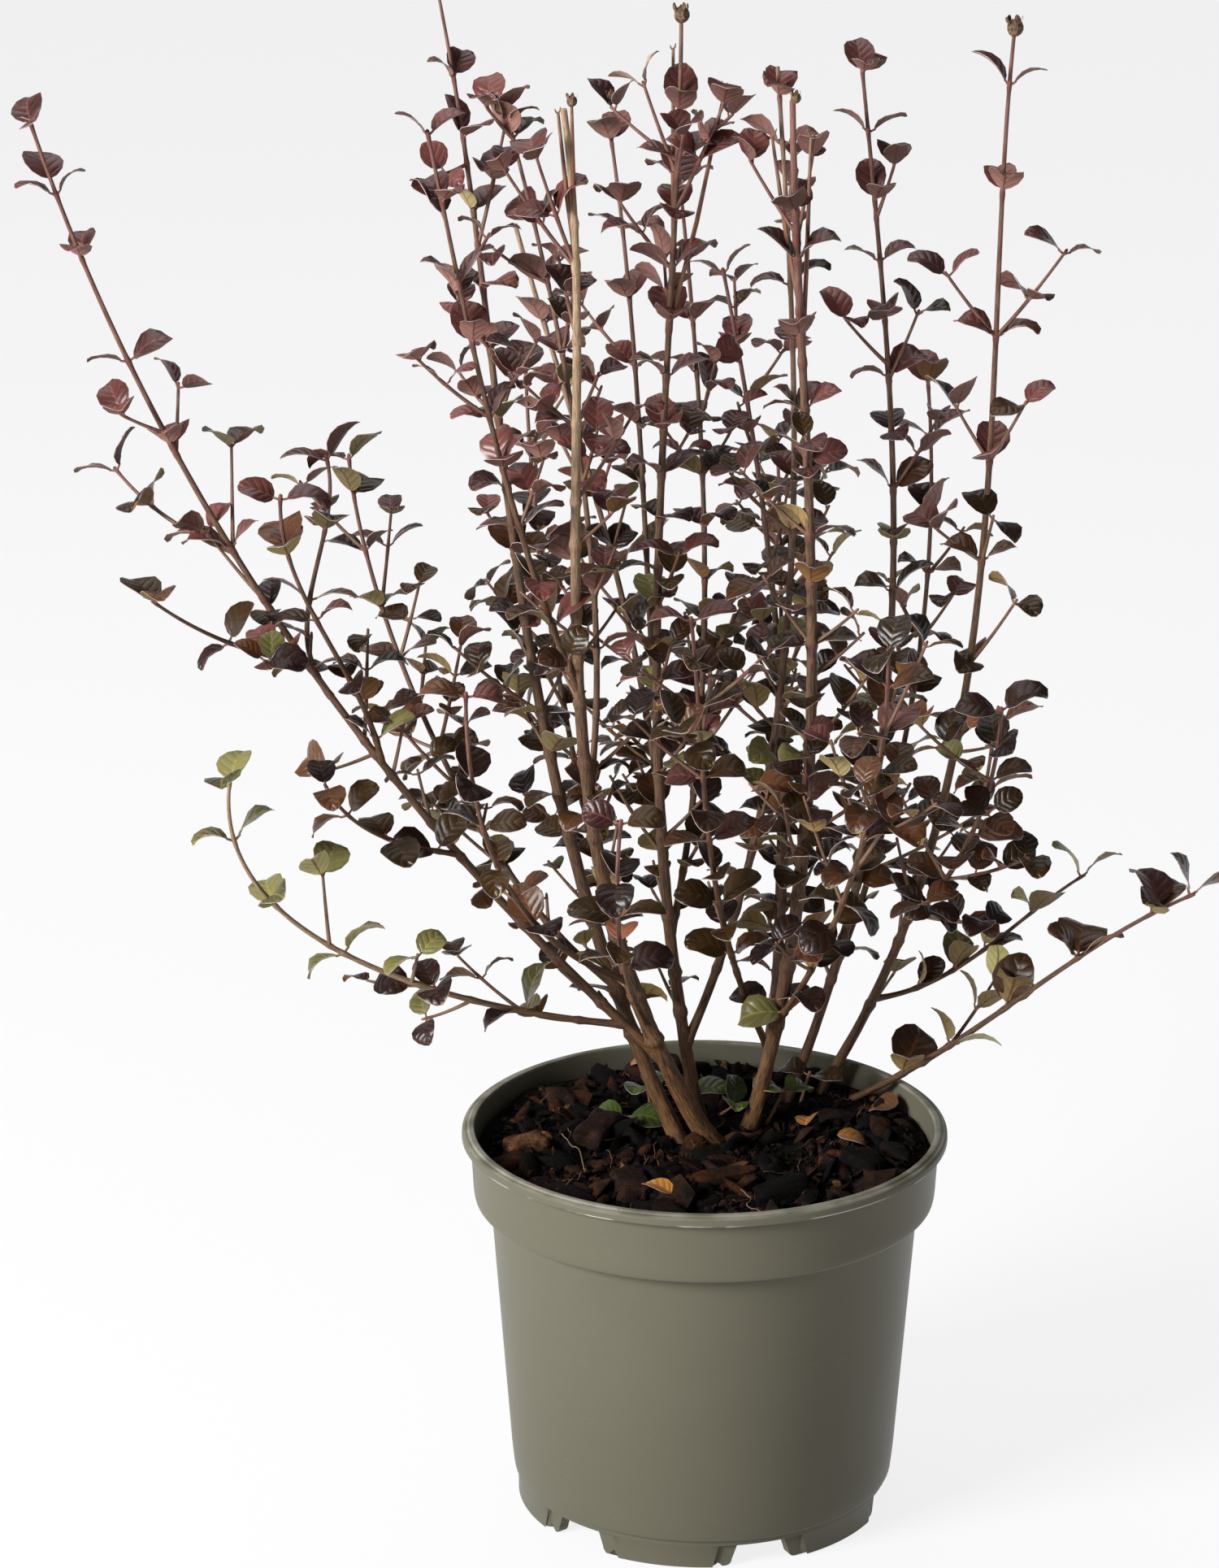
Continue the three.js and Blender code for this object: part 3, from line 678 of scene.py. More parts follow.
def closed_faces(rows, sides):
    """Walls between rings of corners, and fans from two middles behind them to the first and last ring."""
    around = np.arange(sides)
    beyond = (around + 1) % sides
    ring = np.arange(rows - 1)[:, None] * sides
    last = (rows - 1) * sides
    walls = np.stack([ring + around, ring + beyond, ring + beyond + sides, ring + around + sides], axis=-1)
    foot = np.stack([np.full(sides, rows * sides), beyond, around], axis=1)
    head = np.stack([np.full(sides, rows * sides + 1), last + around, last + beyond], axis=1)
    return walls.reshape(-1, 4), foot, head


# Wood
BARK_TRAITS = ("age", "pale", "blush", "dusk", "grain")


def tube(centres, radii, sides, relief=None, flat_top=False):
    """A closed tube round a line of centres: its points, faces, and where each point is on the wood."""
    centres = np.asarray(centres, float)
    radii = np.asarray(radii, float)
    headings = np.gradient(centres, axis=0)
    headings /= np.linalg.norm(headings, axis=1)[:, None]
    side = unit(np.cross(headings[0], BACK if abs(headings[0][1]) < 0.9 else UP))
    turns = np.arange(sides) * 2 * math.pi / sides
    rings = []
    for centre, heading, radius in zip(centres, headings, radii):
        side = unit(side - heading * np.dot(side, heading))
        other = np.cross(heading, side)
        rings.append((centre, side, other, radius))
    reach = np.concatenate([[0], np.cumsum(np.linalg.norm(np.diff(centres, axis=0), axis=1))])
    grain = np.stack([np.cos(turns)[None] * radii[:, None], np.sin(turns)[None] * radii[:, None],
                      np.broadcast_to(reach[:, None], (len(radii), sides))], axis=-1)
    swell = np.ones((len(radii), sides)) if relief is None else relief(grain)
    points = np.array([
        centre + (np.cos(turns)[:, None] * side + np.sin(turns)[:, None] * other) * radius * amount[:, None]
        for (centre, side, other, radius), amount in zip(rings, swell)
    ]).reshape(-1, 3)
    tip = centres[-1] + (0 if flat_top else headings[-1] * radii[-1] * 0.8)
    points = np.concatenate([points, centres[:1], [tip]])
    flat_grain = np.concatenate([grain.reshape(-1, 3), [[0, 0, 0], [0, 0, reach[-1]]]])
    walls, foot, head = closed_faces(len(centres), sides)
    return points, [(walls, 0, None), (foot, 0, None), (head, 1 if flat_top else 0, None)], flat_grain


class Limb:
    """A tapering limb laid along its curve."""

    def __init__(self, name, radius, path, parent=None, bare=0, spacing=NODE_GAP, whip=TOP_PAIR,
                 shoots=SHOOT_SHARE, ease=0.8, cut=False, age=(0.08, 1), pale=0, paling=0.45,
                 pairs=(), turned=0, size=1, rise=LEAF_RISE):
        self.name, self.parent, self.radius, self.ease, self.cut = name, parent, radius, ease, cut
        self.age, self.pale, self.paling, self.bare, self.whip = age, pale, paling, bare, whip
        self.spacing, self.shoots, self.pairs, self.turned = spacing, shoots, pairs, turned
        self.size, self.rise = size, rise
        corners = [np.array(corner, float) for corner in path]
        if parent:
            near = np.linalg.norm(parent.spots - corners[0], axis=1)
            corners[0] = parent.spots[near.argmin()]
        share = np.linspace(0, 1, 401)[:, None]
        rest = 1 - share
        self.spots = (rest ** 3 * corners[0] + 3 * rest ** 2 * share * corners[1]
                      + 3 * rest * share ** 2 * corners[2] + share ** 3 * corners[3])
        steps = np.linalg.norm(np.diff(self.spots, axis=0), axis=1)
        self.reaches = np.concatenate([[0], np.cumsum(steps)])
        self.length = self.reaches[-1]
        self.nodes = []

    def at(self, reach):
        return between(reach, self.reaches, self.spots)

    def heading(self, reach):
        return unit(self.at(min(reach + 1, self.length)) - self.at(max(reach - 1, 0)))

    def thickness(self, reach):
        reach = np.asarray(reach, float)
        radius = lerp(self.radius[0], self.radius[1], np.clip(reach / self.length, 0, 1) ** self.ease)
        if self.parent:
            radius = radius * (1 + 0.35 * np.exp(-np.maximum(reach - self.parent.radius[0], 0) / 3))
        else:
            radius = radius * (1 + FLARE_SHARE * np.exp(-np.maximum(reach, 0) / FLARE_REACH))
        near = [np.exp(-((reach - spot) / 1.7) ** 2) for spot in self.nodes]
        return radius * (1 + 0.3 * np.max(near, axis=0)) if near else radius

    def line(self, low, high):
        return self.at(np.linspace(low * self.length, high * self.length, LINE_SPOTS))


def grow_limbs():
    limbs = {}
    for row in LIMBS:
        row = dict(row)
        row["parent"] = limbs.get(row.get("parent"))
        limbs[row["name"]] = Limb(**row)
    return limbs


def bark_relief(grain):
    """Long ridges with furrows between them and slow lumps on thick wood, and little on thin wood."""
    swell = np.ones(grain.shape[:2])
    for ring in range(grain.shape[0]):
        thick = math.hypot(grain[ring, 0, 0], grain[ring, 0, 1])
        rugged = min(max((thick - 0.9) / 2.4, 0.12), 1)
        for side in range(grain.shape[1]):
            x, y, z = grain[ring, side]
            furrow = noise.noise(Vector((x * 0.9, y * 0.9, z * 0.07)))
            fine = noise.noise(Vector((x * 2.1, y * 2.1, z * 0.22 + 40)))
            lump = noise.noise(Vector((x * 0.3, y * 0.3, z * 0.09 + 90)))
            swell[ring, side] += rugged * (0.15 * (furrow + 0.5 * fine) + 0.09 * lump)
    return swell


def limb_wood(limb, wood, sawn):
    """The limb's bark from its foot to its tip, as one closed mesh."""
    thick = limb.radius[0]
    sides, gap = (20, 1.3) if thick > 4 else (14, 1.8) if thick > 2 else (9, 2.4)
    low = 0 if limb.parent else -FLARE_REACH
    reaches = np.linspace(low, limb.length, int((limb.length - low) / gap))
    centres = limb.at(np.maximum(reaches, 0))
    centres += np.minimum(reaches, 0)[:, None] * limb.heading(0)
    radii = limb.thickness(reaches)
    points, blocks, grain = tube(centres, radii, sides, bark_relief, flat_top=limb.cut)
    along = grain[:, 2] + low
    share = np.clip(along / limb.length, 0, 1)
    age = lerp(*limb.age, share)
    pale = limb.pale * np.clip((share - limb.paling) / 0.3, 0, 1)
    blush, dusk = np.zeros(len(points)), np.zeros(len(points))
    for spot in limb.nodes:
        above = along - spot
        blush += np.exp(-(above / 1.8) ** 2)
        dusk = np.maximum(dusk, np.where(above < 0, np.exp(above / 7), np.exp(-above / 1.5)))
    young = np.clip(age * 1.4 - 0.4, 0, 1) * (1 - pale)
    made = Gathered(BARK_TRAITS)
    made.add(points, blocks, age=age, pale=pale, grain=grain,
             blush=np.clip(blush, 0, 1) * young * 0.5, dusk=dusk * young * 0.75)
    return made.piece("bark_" + limb.name, [wood, sawn], sharp=50)


# Leaves
LEAF_ROWS = (0.06, 0.2, 0.4, 0.61, 0.81, 0.95)
LEAF_COLUMNS = (-1, -0.5, 0, 0.5, 1)
LEAF_PROBES = (3, 16, 20, 28, 31)  # the points of a leaf that are tried for room, root, sides and tip
LEAF_THICKNESS = 0.015


def leaf_shape(rng):
    """The points of a leaf 1 long: root at the origin, tip towards +X, upper face towards +Z."""
    width = rng.uniform(0.36, 0.46)
    fold = math.radians(rng.uniform(8, 28))
    lift = math.radians(rng.uniform(6, 20))
    droop = math.radians(rng.uniform(45, 95))
    twist = math.radians(rng.uniform(-14, 14))
    wave = rng.uniform(-0.045, 0.045)

    def middle(share):
        steps = np.linspace(0, share, 12)
        slopes = lift - droop * steps ** 1.4
        return np.trapz(np.cos(slopes), steps), np.trapz(np.sin(slopes), steps), slopes[-1]

    def spot(share, across):
        x, z, slope = middle(share)
        half = width * math.sin(math.pi * share ** 0.94) ** 0.62 if 0 < share < 1 else 0
        out = across * half
        rise = abs(out) * math.tan(fold) * (1 - 0.45 * abs(across)) + wave * across * math.sin(8 * share)
        rise += out * math.sin(twist * share)
        return x - rise * math.sin(slope), out, z + rise * math.cos(slope)

    grid = [spot(share, across) for share in LEAF_ROWS for across in LEAF_COLUMNS]
    upper = np.array([spot(0, 0), *grid, spot(1, 0)])
    lower = upper - np.array([0, 0, LEAF_THICKNESS])
    return np.concatenate([upper, lower])


def leaf_faces():
    """The faces of every leaf, in blocks for its upper face, its lower face and its rim."""
    columns = len(LEAF_COLUMNS)
    rows = len(LEAF_ROWS)
    tip = rows * columns + 1
    skin = tip + 1
    shares = [0, *LEAF_ROWS, 1]

    def number(row, column):
        return 1 + row * columns + column

    def place(row, column):
        return shares[row + 1], (LEAF_COLUMNS[column] + 1) / 2

    quads, quad_places, fans, fan_places = [], [], [], []
    for column in range(columns - 1):
        fans.append((0, number(0, column), number(0, column + 1)))
        fan_places.append(((0, 0.5), place(0, column), place(0, column + 1)))
        for row in range(rows - 1):
            corners = [(row, column), (row + 1, column), (row + 1, column + 1), (row, column + 1)]
            quads.append([number(*corner) for corner in corners])
            quad_places.append([place(*corner) for corner in corners])
        fans.append((number(rows - 1, column), tip, number(rows - 1, column + 1)))
        fan_places.append((place(rows - 1, column), (1, 0.5), place(rows - 1, column + 1)))
    right = [number(row, 0) for row in range(rows)]
    left = [number(row, columns - 1) for row in reversed(range(rows))]
    edge = np.array([0, *right, tip, *left])
    beyond = np.roll(edge, -1)
    rim = np.stack([beyond, edge, edge + skin, beyond + skin], axis=1)
    quads, fans = np.array(quads), np.array(fans)
    quad_places, fan_places = np.array(quad_places, float), np.array(fan_places, float)
    return [
        (quads, 0, quad_places), (fans, 0, fan_places),
        (quads[:, ::-1] + skin, 1, quad_places[:, ::-1]), (fans[:, ::-1] + skin, 1, fan_places[:, ::-1]),
        (rim, 2, np.zeros((len(rim), 4, 2))),
    ]


def crown_share(spot):
    """How high a spot is in the crown, from 0 to 1."""
    return min(max((spot[2] - CROWN_LOW) / (CROWN_HIGH - CROWN_LOW), 0), 1)


def outward_at(stalk, turn):
    """The heading straight out from a stalk, turned round it."""
    side = unit(np.cross(BACK, stalk))
    return side * math.cos(turn) + np.cross(stalk, side) * math.sin(turn)


class Foliage:
    """Every leaf and twig of the shrub, dealt out by colour as they grow."""

    def __init__(self, limbs):
        self.limbs = limbs
        rng = random.Random(3)
        self.shapes = [leaf_shape(rng) for _ in range(14)]
        self.faces = leaf_faces()
        self.leaves = {tint: Gathered(("shade",)) for tint in TINTS}
        self.twigs = Gathered(BARK_TRAITS)
        self.low, self.high = ((np.array(corner) - np.array(AXIS)) / MM for corner in cad_box)
        leafy = [limb for limb in limbs.values() if limb.bare < 1]
        woody = [limb for limb in limbs.values() if limb.bare > 0]
        self.leafy = {limb.name: limb.line(max(limb.bare - 0.02, 0), 1) for limb in leafy}
        self.woody = {limb.name: limb.line(0, limb.bare + 0.04) for limb in woody}

    def clear(self, limb, points):
        """Whether points keep to the limb's own space and off the others' wood."""
        own = distances(points, limb.line(0, 1))
        for name, line in self.leafy.items():
            if name != limb.name and (distances(points, line) < own + SPACE_MARGIN).any():
                return False
        for name, line in self.woody.items():
            room = self.limbs[name].radius[0] + LIMB_CLEARANCE
            if name != limb.name and (distances(points, line) < room).any():
                return False
        return True

    def tint(self, limb, height, rng):
        """The colour of a leaf: wine at the top, darker plum and olive further down, and a few others."""
        share = (height - CROWN_LOW) / ZONE_SPAN + rng.uniform(-0.12, 0.12)
        lot = rng.random()
        if limb.name == "low_left":
            zone = "low_left_tip" if height > LOW_LEFT_TIP else "low_left"
        elif limb.name in ("low_right", "low_right_back"):
            zone = "low_right"
        else:
            zone = next(name for name, low in ZONES.items() if share > low)
        return next(tint for tint, below in LOTS[zone].items() if lot < below)

    def leaf(self, limb, root, stalk, outward, size, rng, tint=None, certain=False):
        """One leaf on its stalk, if there is room for it."""
        height = crown_share(root)
        rise = math.radians(rng.gauss(lerp(*limb.rise, height), 15))
        skyward = unit(stalk * 0.6 + UP)
        level = outward - skyward * np.dot(outward, skyward) * 0.8
        along = unit(level * math.cos(rise) + skyward * math.sin(rise))
        across = unit(np.cross(skyward, along))
        roll = rng.gauss(0, 0.3)
        across = across * math.cos(roll) + np.cross(along, across) * math.sin(roll)
        face = np.cross(along, across)
        length = lerp(*LEAF_LENGTH, height) * size * rng.uniform(0.82, 1.14)
        foot = root + along * PETIOLE * size
        turn = np.array([along, across, face])
        points = foot + rng.choice(self.shapes) @ turn * length
        within = (points > self.low - REACH_SLACK).all() and (points < self.high + REACH_SLACK).all()
        if not within or not (certain or self.clear(limb, points[list(LEAF_PROBES)])):
            return
        tint = tint or self.tint(limb, root[2], rng)
        self.leaves[tint].add(points, self.faces, shade=rng.random())
        stalk_line = [root, root + along * PETIOLE * size * 0.6, foot + along * length * 0.04]
        self.twig(stalk_line, (0.55 * size, 0.42 * size), 5, lerp(0.75, 1, height), ())

    def twig(self, centres, radii, sides, age, nodes):
        """A thin round twig, swollen and red at its nodes and dusky below them."""
        share = np.linspace(0, 1, len(centres))
        radius = lerp(*radii, share)
        for spot in nodes:
            radius = radius * (1 + 0.3 * np.exp(-((share - spot) / 0.06) ** 2))
        points, blocks, grain = tube(centres, radius, sides)
        blush, dusk = np.full(len(points), 0.06), np.zeros(len(points))
        near = np.concatenate([np.repeat(share, sides), [0, 1]])
        for spot in nodes:
            blush = np.maximum(blush, 0.5 * np.exp(-((near - spot) / 0.06) ** 2))
            dusk = np.maximum(dusk, np.where(near < spot, 0.5 * np.exp((near - spot) / 0.2), 0))
        self.twigs.add(points, blocks, age=age, pale=(1 - age) * 0.8, blush=blush, dusk=dusk, grain=grain)

    def pair(self, limb, root, stalk, turn, size, rng, tint=None, certain=False):
        for angle in (turn, turn + math.pi):
            self.leaf(limb, root, stalk, outward_at(stalk, angle), size, rng, tint, certain)

    def shoot(self, limb, root, stalk, turn, size, rng):
        """A side twig that carries smaller pairs, crosswise too."""
        rise = math.radians(rng.uniform(32, 54))
        heading = outward_at(stalk, turn) * math.cos(rise) + stalk * math.sin(rise)
        length = SHOOT_LENGTH * size * rng.uniform(0.6, 1.3)
        tip = root + heading * length + UP * length * 0.15
        self.spray(limb, root, root + heading * length / 2, tip, rng)

    def spray(self, limb, root, bend, tip, rng, size=0.86, gap=SHOOT_GAP, tint=None, certain=False):
        """A twig along a curve, with pairs over its outer three quarters."""
        shares = np.linspace(0, 1, 9)
        share = shares[:, None]
        centres = (1 - share) ** 2 * root + 2 * share * (1 - share) * bend + share ** 2 * tip
        if not certain and not self.clear(limb, centres[[4, 6, 8]]):
            return
        length = np.linalg.norm(np.diff(centres, axis=0), axis=1).sum()
        count = max(1, round(length * 0.75 / gap))
        spots = [1 - (TOP_PAIR + step * gap) / length for step in range(count)]
        self.twig(centres, (0.85, 0.5), 6, lerp(0.5, 1, crown_share(root)), spots)
        turn = rng.uniform(0, math.pi)
        for spot in spots:
            earlier, place, later = between([spot - 0.08, spot, spot + 0.02], shares, centres)
            self.pair(limb, place, unit(later - earlier), turn, size, rng, tint, certain)
            turn += math.pi / 2 + rng.uniform(-0.25, 0.25)

    def grow(self, limb, seed):
        """Pairs of leaves crosswise up the limb, each at a swollen node, and shoots beside some of them."""
        rng = random.Random(seed)
        top = limb.length - limb.whip
        if limb.pairs:
            for index, reach in enumerate((top, *reversed(limb.pairs))):
                turn = math.radians(limb.turned + index * 90) + rng.uniform(-0.2, 0.2)
                limb.nodes.append(reach)
                self.pair(limb, limb.at(reach), limb.heading(reach), turn, limb.size, rng, certain=True)
            return
        turn = rng.uniform(0, math.pi)
        reach = max(limb.bare * limb.length + limb.spacing[0] * 0.4, 10)
        while reach < top - limb.spacing[0] * 0.6:
            turn += math.pi / 2 + rng.uniform(-0.25, 0.25)
            root, stalk = limb.at(reach), limb.heading(reach)
            height = crown_share(root)
            limb.nodes.append(reach)
            self.pair(limb, root, stalk, turn, 1, rng)
            thin = min(0.15 + 2.4 * height, 1)
            for angle in (turn, turn + math.pi):
                if rng.random() < lerp(*limb.shoots, height) * thin:
                    self.shoot(limb, root, stalk, angle, lerp(*SHOOT_SIZE, height), rng)
            reach += lerp(*limb.spacing, height) * rng.uniform(0.85, 1.15)
        limb.nodes.append(top)
        self.pair(limb, limb.at(top), limb.heading(top), turn + math.pi / 2, 1, rng)

    def sprig(self, limb, reach, tip, rng, tint=None):
        """A side twig that sags a little, with leaves or with two prongs where they have dropped."""
        root, tip = limb.at(reach), np.array(tip, float)
        limb.nodes.append(reach)
        bend = (root + tip) / 2 - UP * np.linalg.norm(tip - root) * 0.05
        if tint != "bare":
            self.spray(limb, root, bend, tip, rng, 0.95, SPRIG_GAP, tint, certain=True)
            return
        self.twig([root, bend, tip], (0.8, 0.55), 6, 0.6, (0.5,))
        for side in (-1, 1):
            prong = tip + (side * rng.uniform(0.8, 1.6), rng.uniform(-1, 1), rng.uniform(1.5, 3))
            self.twig([tip, (tip + prong) / 2 + (side * 0.3, 0, 0), prong], (0.5, 0.2), 5, 0.6, ())

    def place_by_hand(self):
        """The side twigs, large leaves and green sprigs that have a place of their own."""
        rng = random.Random(5)
        for name, *sprigs in SPRIGS:
            for reach, tip, *tint in sprigs:
                self.sprig(self.limbs[name], reach, tip, rng, *tint)
        for name, reach, outward, tint in LARGE_LEAVES:
            limb = self.limbs[name]
            root = limb.at(min(reach, limb.length - TOP_PAIR))
            self.leaf(limb, root, UP, unit(np.array(outward)), LARGE_LEAF, rng, tint, certain=True)
        for foot, tip, tint in BASAL_SPRIGS:
            root, tip = np.array(foot, float), np.array(tip, float)
            bend = (root + tip) / 2
            self.spray(self.limbs["trunk"], root, bend, tip, rng, size=0.85, tint=tint, certain=True)

    def strew_fallen(self):
        """Yellowed leaves that lie on the mulch."""
        rng = random.Random(8)
        for x, y in FALLEN:
            turn, tip = rng.uniform(0, 2 * math.pi), rng.uniform(-0.3, 0.35)
            along = unit(np.array([math.cos(turn), math.sin(turn), tip]))
            across = unit(np.cross(UP, along) + UP * rng.uniform(-0.4, 0.4))
            flat = np.array([along, across, np.cross(along, across)])
            points = rng.choice(self.shapes) @ flat * rng.uniform(11, 16) * rng.choice((1, 1, -1))
            points += (x, y, bed_height(x, y) + 5 - points[:, 2].min() * 0.6)
            self.leaves["fallen"].add(points, self.faces, shade=rng.random())

    def sprout(self, limb, seed):
        """Small leafy shoots behind the bare foot of a stem."""
        rng = random.Random(seed)
        reach = 0
        while reach < limb.bare * min(limb.length, BASAL_REACH):
            reach += BASAL_GAP * rng.uniform(0.6, 1.4)
            root = limb.at(reach)
            if root[2] > BASAL_HEIGHT:
                limb.nodes.append(reach)
                turn, size = rng.uniform(0, math.pi), rng.uniform(0.4, 0.9)
                self.shoot(limb, root, limb.heading(reach), turn, size, rng)


# Seed heads
SEPALS = 5


def seed_head(gathered, middle, radius, foliage, rng):
    """A dry capsule with its withered sepals standing round its top."""
    rows, sides = 6, 10
    polar = np.linspace(0, math.pi, rows + 2)[1:-1, None]
    turns = np.arange(sides) * 2 * math.pi / sides
    reach = np.sin(polar) * (1 + 0.09 * np.cos(SEPALS * turns))
    height = np.broadcast_to(-np.cos(polar) * 1.1, (rows, sides))
    ball = np.stack([reach * np.cos(turns), reach * np.sin(turns), height], axis=-1)
    ends = [[0, 0, -1.1], [0, 0, 0.95]]
    ball = np.concatenate([ball.reshape(-1, 3), ends]) * radius * 0.95 + middle
    gathered.add(ball, [(faces, 0, None) for faces in closed_faces(rows, sides)])
    for index in range(SEPALS):
        turn = index * 2 * math.pi / SEPALS + rng.uniform(-0.2, 0.2)
        outward = np.array([math.cos(turn), math.sin(turn), 0])
        along = unit(outward * rng.uniform(0.1, 0.6) + UP)
        across = np.array([-outward[1], outward[0], 0])
        flat = np.array([along, across, -np.cross(along, across)])
        sepal = rng.choice(foliage.shapes) * (1, 0.75, 0.5) @ flat
        root = middle + outward * radius * 0.68 + UP * radius * 0.35
        gathered.add(root + sepal * radius * 1.15, [(corners, 0, None) for corners, _, _ in foliage.faces])


def husk():
    """Dry brown husk, mottled and matt."""
    made = Finish("husk", roughness=0.8, specular=0.3)
    mottle = made.noise(made.place(), 0.9, 4, 0.65)
    base = made.mix(made.window(mottle, 0.35, 0.65), (52, 37, 27), (116, 90, 66))
    return made.finish(Base_Color=base, Normal=made.bump(mottle, 0.6, 0.3))


# The pot
def rounded(corners):
    """Radius and height along an outline whose corners are (radius, height, rounding)."""
    outline = [corners[0][:2]]
    for before, corner, after in zip(corners, corners[1:], corners[2:]):
        spot = np.array(corner[:2], float)
        inward = unit(np.array(before[:2]) - spot)
        outward = unit(np.array(after[:2]) - spot)
        if corner[2] == 0:
            outline.append(tuple(spot))
            continue
        start, end = spot + inward * corner[2], spot + outward * corner[2]
        for share in (0, 0.25, 0.5, 0.75, 1):
            rest = 1 - share
            outline.append(tuple(rest ** 2 * start + 2 * share * rest * spot + share ** 2 * end))
    outline.append(corners[-1][:2])
    return outline


def pot_outline():
    """From the middle of the underside out, up, over the lip and down the inside to the floor's middle."""
    collar_low = COLLAR_RADIUS - COLLAR_FLARE
    lip = POT_HEIGHT
    return rounded([
        (4, FOOT_HEIGHT - 2, 0),
        (FOOT_RADIUS - FOOT_WIDTH, FOOT_HEIGHT - 2, 0),
        (FOOT_RADIUS - FOOT_SETBACK, FOOT_HEIGHT - 2, 0),
        (FOOT_RADIUS, FOOT_HEIGHT - 2, 0.3),
        (FOOT_RADIUS + 0.1, FOOT_HEIGHT, 0.3),
        (BODY_FOOT_RADIUS, FOOT_HEIGHT + 0.4, 1.1),
        (BODY_FOOT_RADIUS + 1.0, FOOT_HEIGHT + 9, 4),
        (BODY_TOP_RADIUS, COLLAR_FOOT - 1.2, 0.8),
        (collar_low - 0.6, COLLAR_FOOT - 0.6, 1.4),
        (collar_low, COLLAR_FOOT + 3, 1.6),
        (COLLAR_RADIUS - 0.1, lip - 4.6, 0.4),
        (COLLAR_RADIUS + 0.6, lip - 4.4, 0.3),
        (LIP_RADIUS - 0.5, lip - 4.2, 0.3),
        (LIP_RADIUS, lip - 3.8, 0.25),
        (LIP_RADIUS - 0.15, lip - 1.3, 0.5),
        (LIP_RADIUS - 1.2, lip - 0.7, 0.4),
        (LIP_RADIUS - 2.2, lip - 0.75, 0.3),
        (LIP_RADIUS - 2.8, lip, 0.3),
        (COLLAR_RADIUS - WALL, lip, 0.5),
        (COLLAR_RADIUS - WALL - 0.3, lip - 4, 1.0),
        (collar_low - WALL, COLLAR_FOOT + 2.4, 1.0),
        (BODY_TOP_RADIUS - WALL, COLLAR_FOOT - 2.4, 0.8),
        (BODY_FOOT_RADIUS - WALL, FOOT_HEIGHT + 4, 1.5),
        (BODY_FOOT_RADIUS - WALL - 2, FOOT_HEIGHT, 0.8),
        (4, FOOT_HEIGHT, 0),
    ])


def pot(plastic):
    """The pot, drawn out ring by ring along its outline, with feet pulled down and holes in its floor."""
    bpy.ops.object.select_all(action="DESELECT")
    outline = pot_outline()
    radius, height = outline[0]
    bpy.ops.mesh.primitive_circle_add(
        vertices=POT_SEGMENTS, radius=radius * MM, location=(AXIS.x, AXIS.y, height * MM),
        rotation=(0, 0, math.radians(FIRST_FOOT + FOOT_SPREAD)))
    made = bpy.context.object
    made.name = "pot_body"
    bpy.ops.object.transform_apply(location=True, rotation=True, scale=True)
    bpy.ops.object.mode_set(mode="EDIT")
    bpy.ops.mesh.select_all(action="SELECT")
    for (old_radius, old_height), (new_radius, new_height) in zip(outline, outline[1:]):
        rise = (0, 0, (new_height - old_height) * MM)
        bpy.ops.mesh.extrude_region_move(TRANSFORM_OT_translate={"value": rise})
        share = new_radius / old_radius
        middle = (AXIS.x, AXIS.y, new_height * MM)
        bpy.ops.transform.resize(value=(share, share, 1), center_override=middle)
    bpy.ops.mesh.select_all(action="DESELECT")
    bpy.ops.mesh.select_non_manifold(extend=False)
    bpy.ops.mesh.edge_face_add()
    bpy.ops.mesh.select_all(action="SELECT")
    bpy.ops.mesh.normals_make_consistent(inside=False)
    bpy.ops.object.mode_set(mode="OBJECT")
    pull_feet(made)
    drill_drains(made)
    made.data.materials.append(plastic)
    smooth(made, 40)
    return made


def turn_from_foot(spot):
    """Degrees from a spot round the pot to the middle of its nearest foot."""
    turn = math.degrees(math.atan2(spot.x - AXIS.x, AXIS.y - spot.y)) - FIRST_FOOT
    gap = 360 / FOOT_COUNT
    return (turn + gap / 2) % gap - gap / 2


def radius_of(spot):
    """A spot's distance from the pot's axis, in millimetres."""
    return math.hypot(spot.x - AXIS.x, spot.y - AXIS.y) / MM


def foot_reach(radius):
    """How far a foot spreads at this radius, less where its tab at the end is set back."""
    return FOOT_SPREAD if radius < FOOT_RADIUS - FOOT_SETBACK else FOOT_SPREAD - TAB_SPREAD


def choose(made, kind, wanted):
    """Selects the mesh's vertices, edges or faces that are wanted, and nothing else."""
    mesh = made.data
    for parts in (mesh.vertices, mesh.edges, mesh.polygons):
        for part in parts:
            part.select = False
    for part in getattr(mesh, kind):
        part.select = wanted(part)
    kinds = ("vertices", "edges", "polygons")
    bpy.context.tool_settings.mesh_select_mode = tuple(kind == each for each in kinds)
    select_only(made)
    bpy.ops.object.mode_set(mode="EDIT")


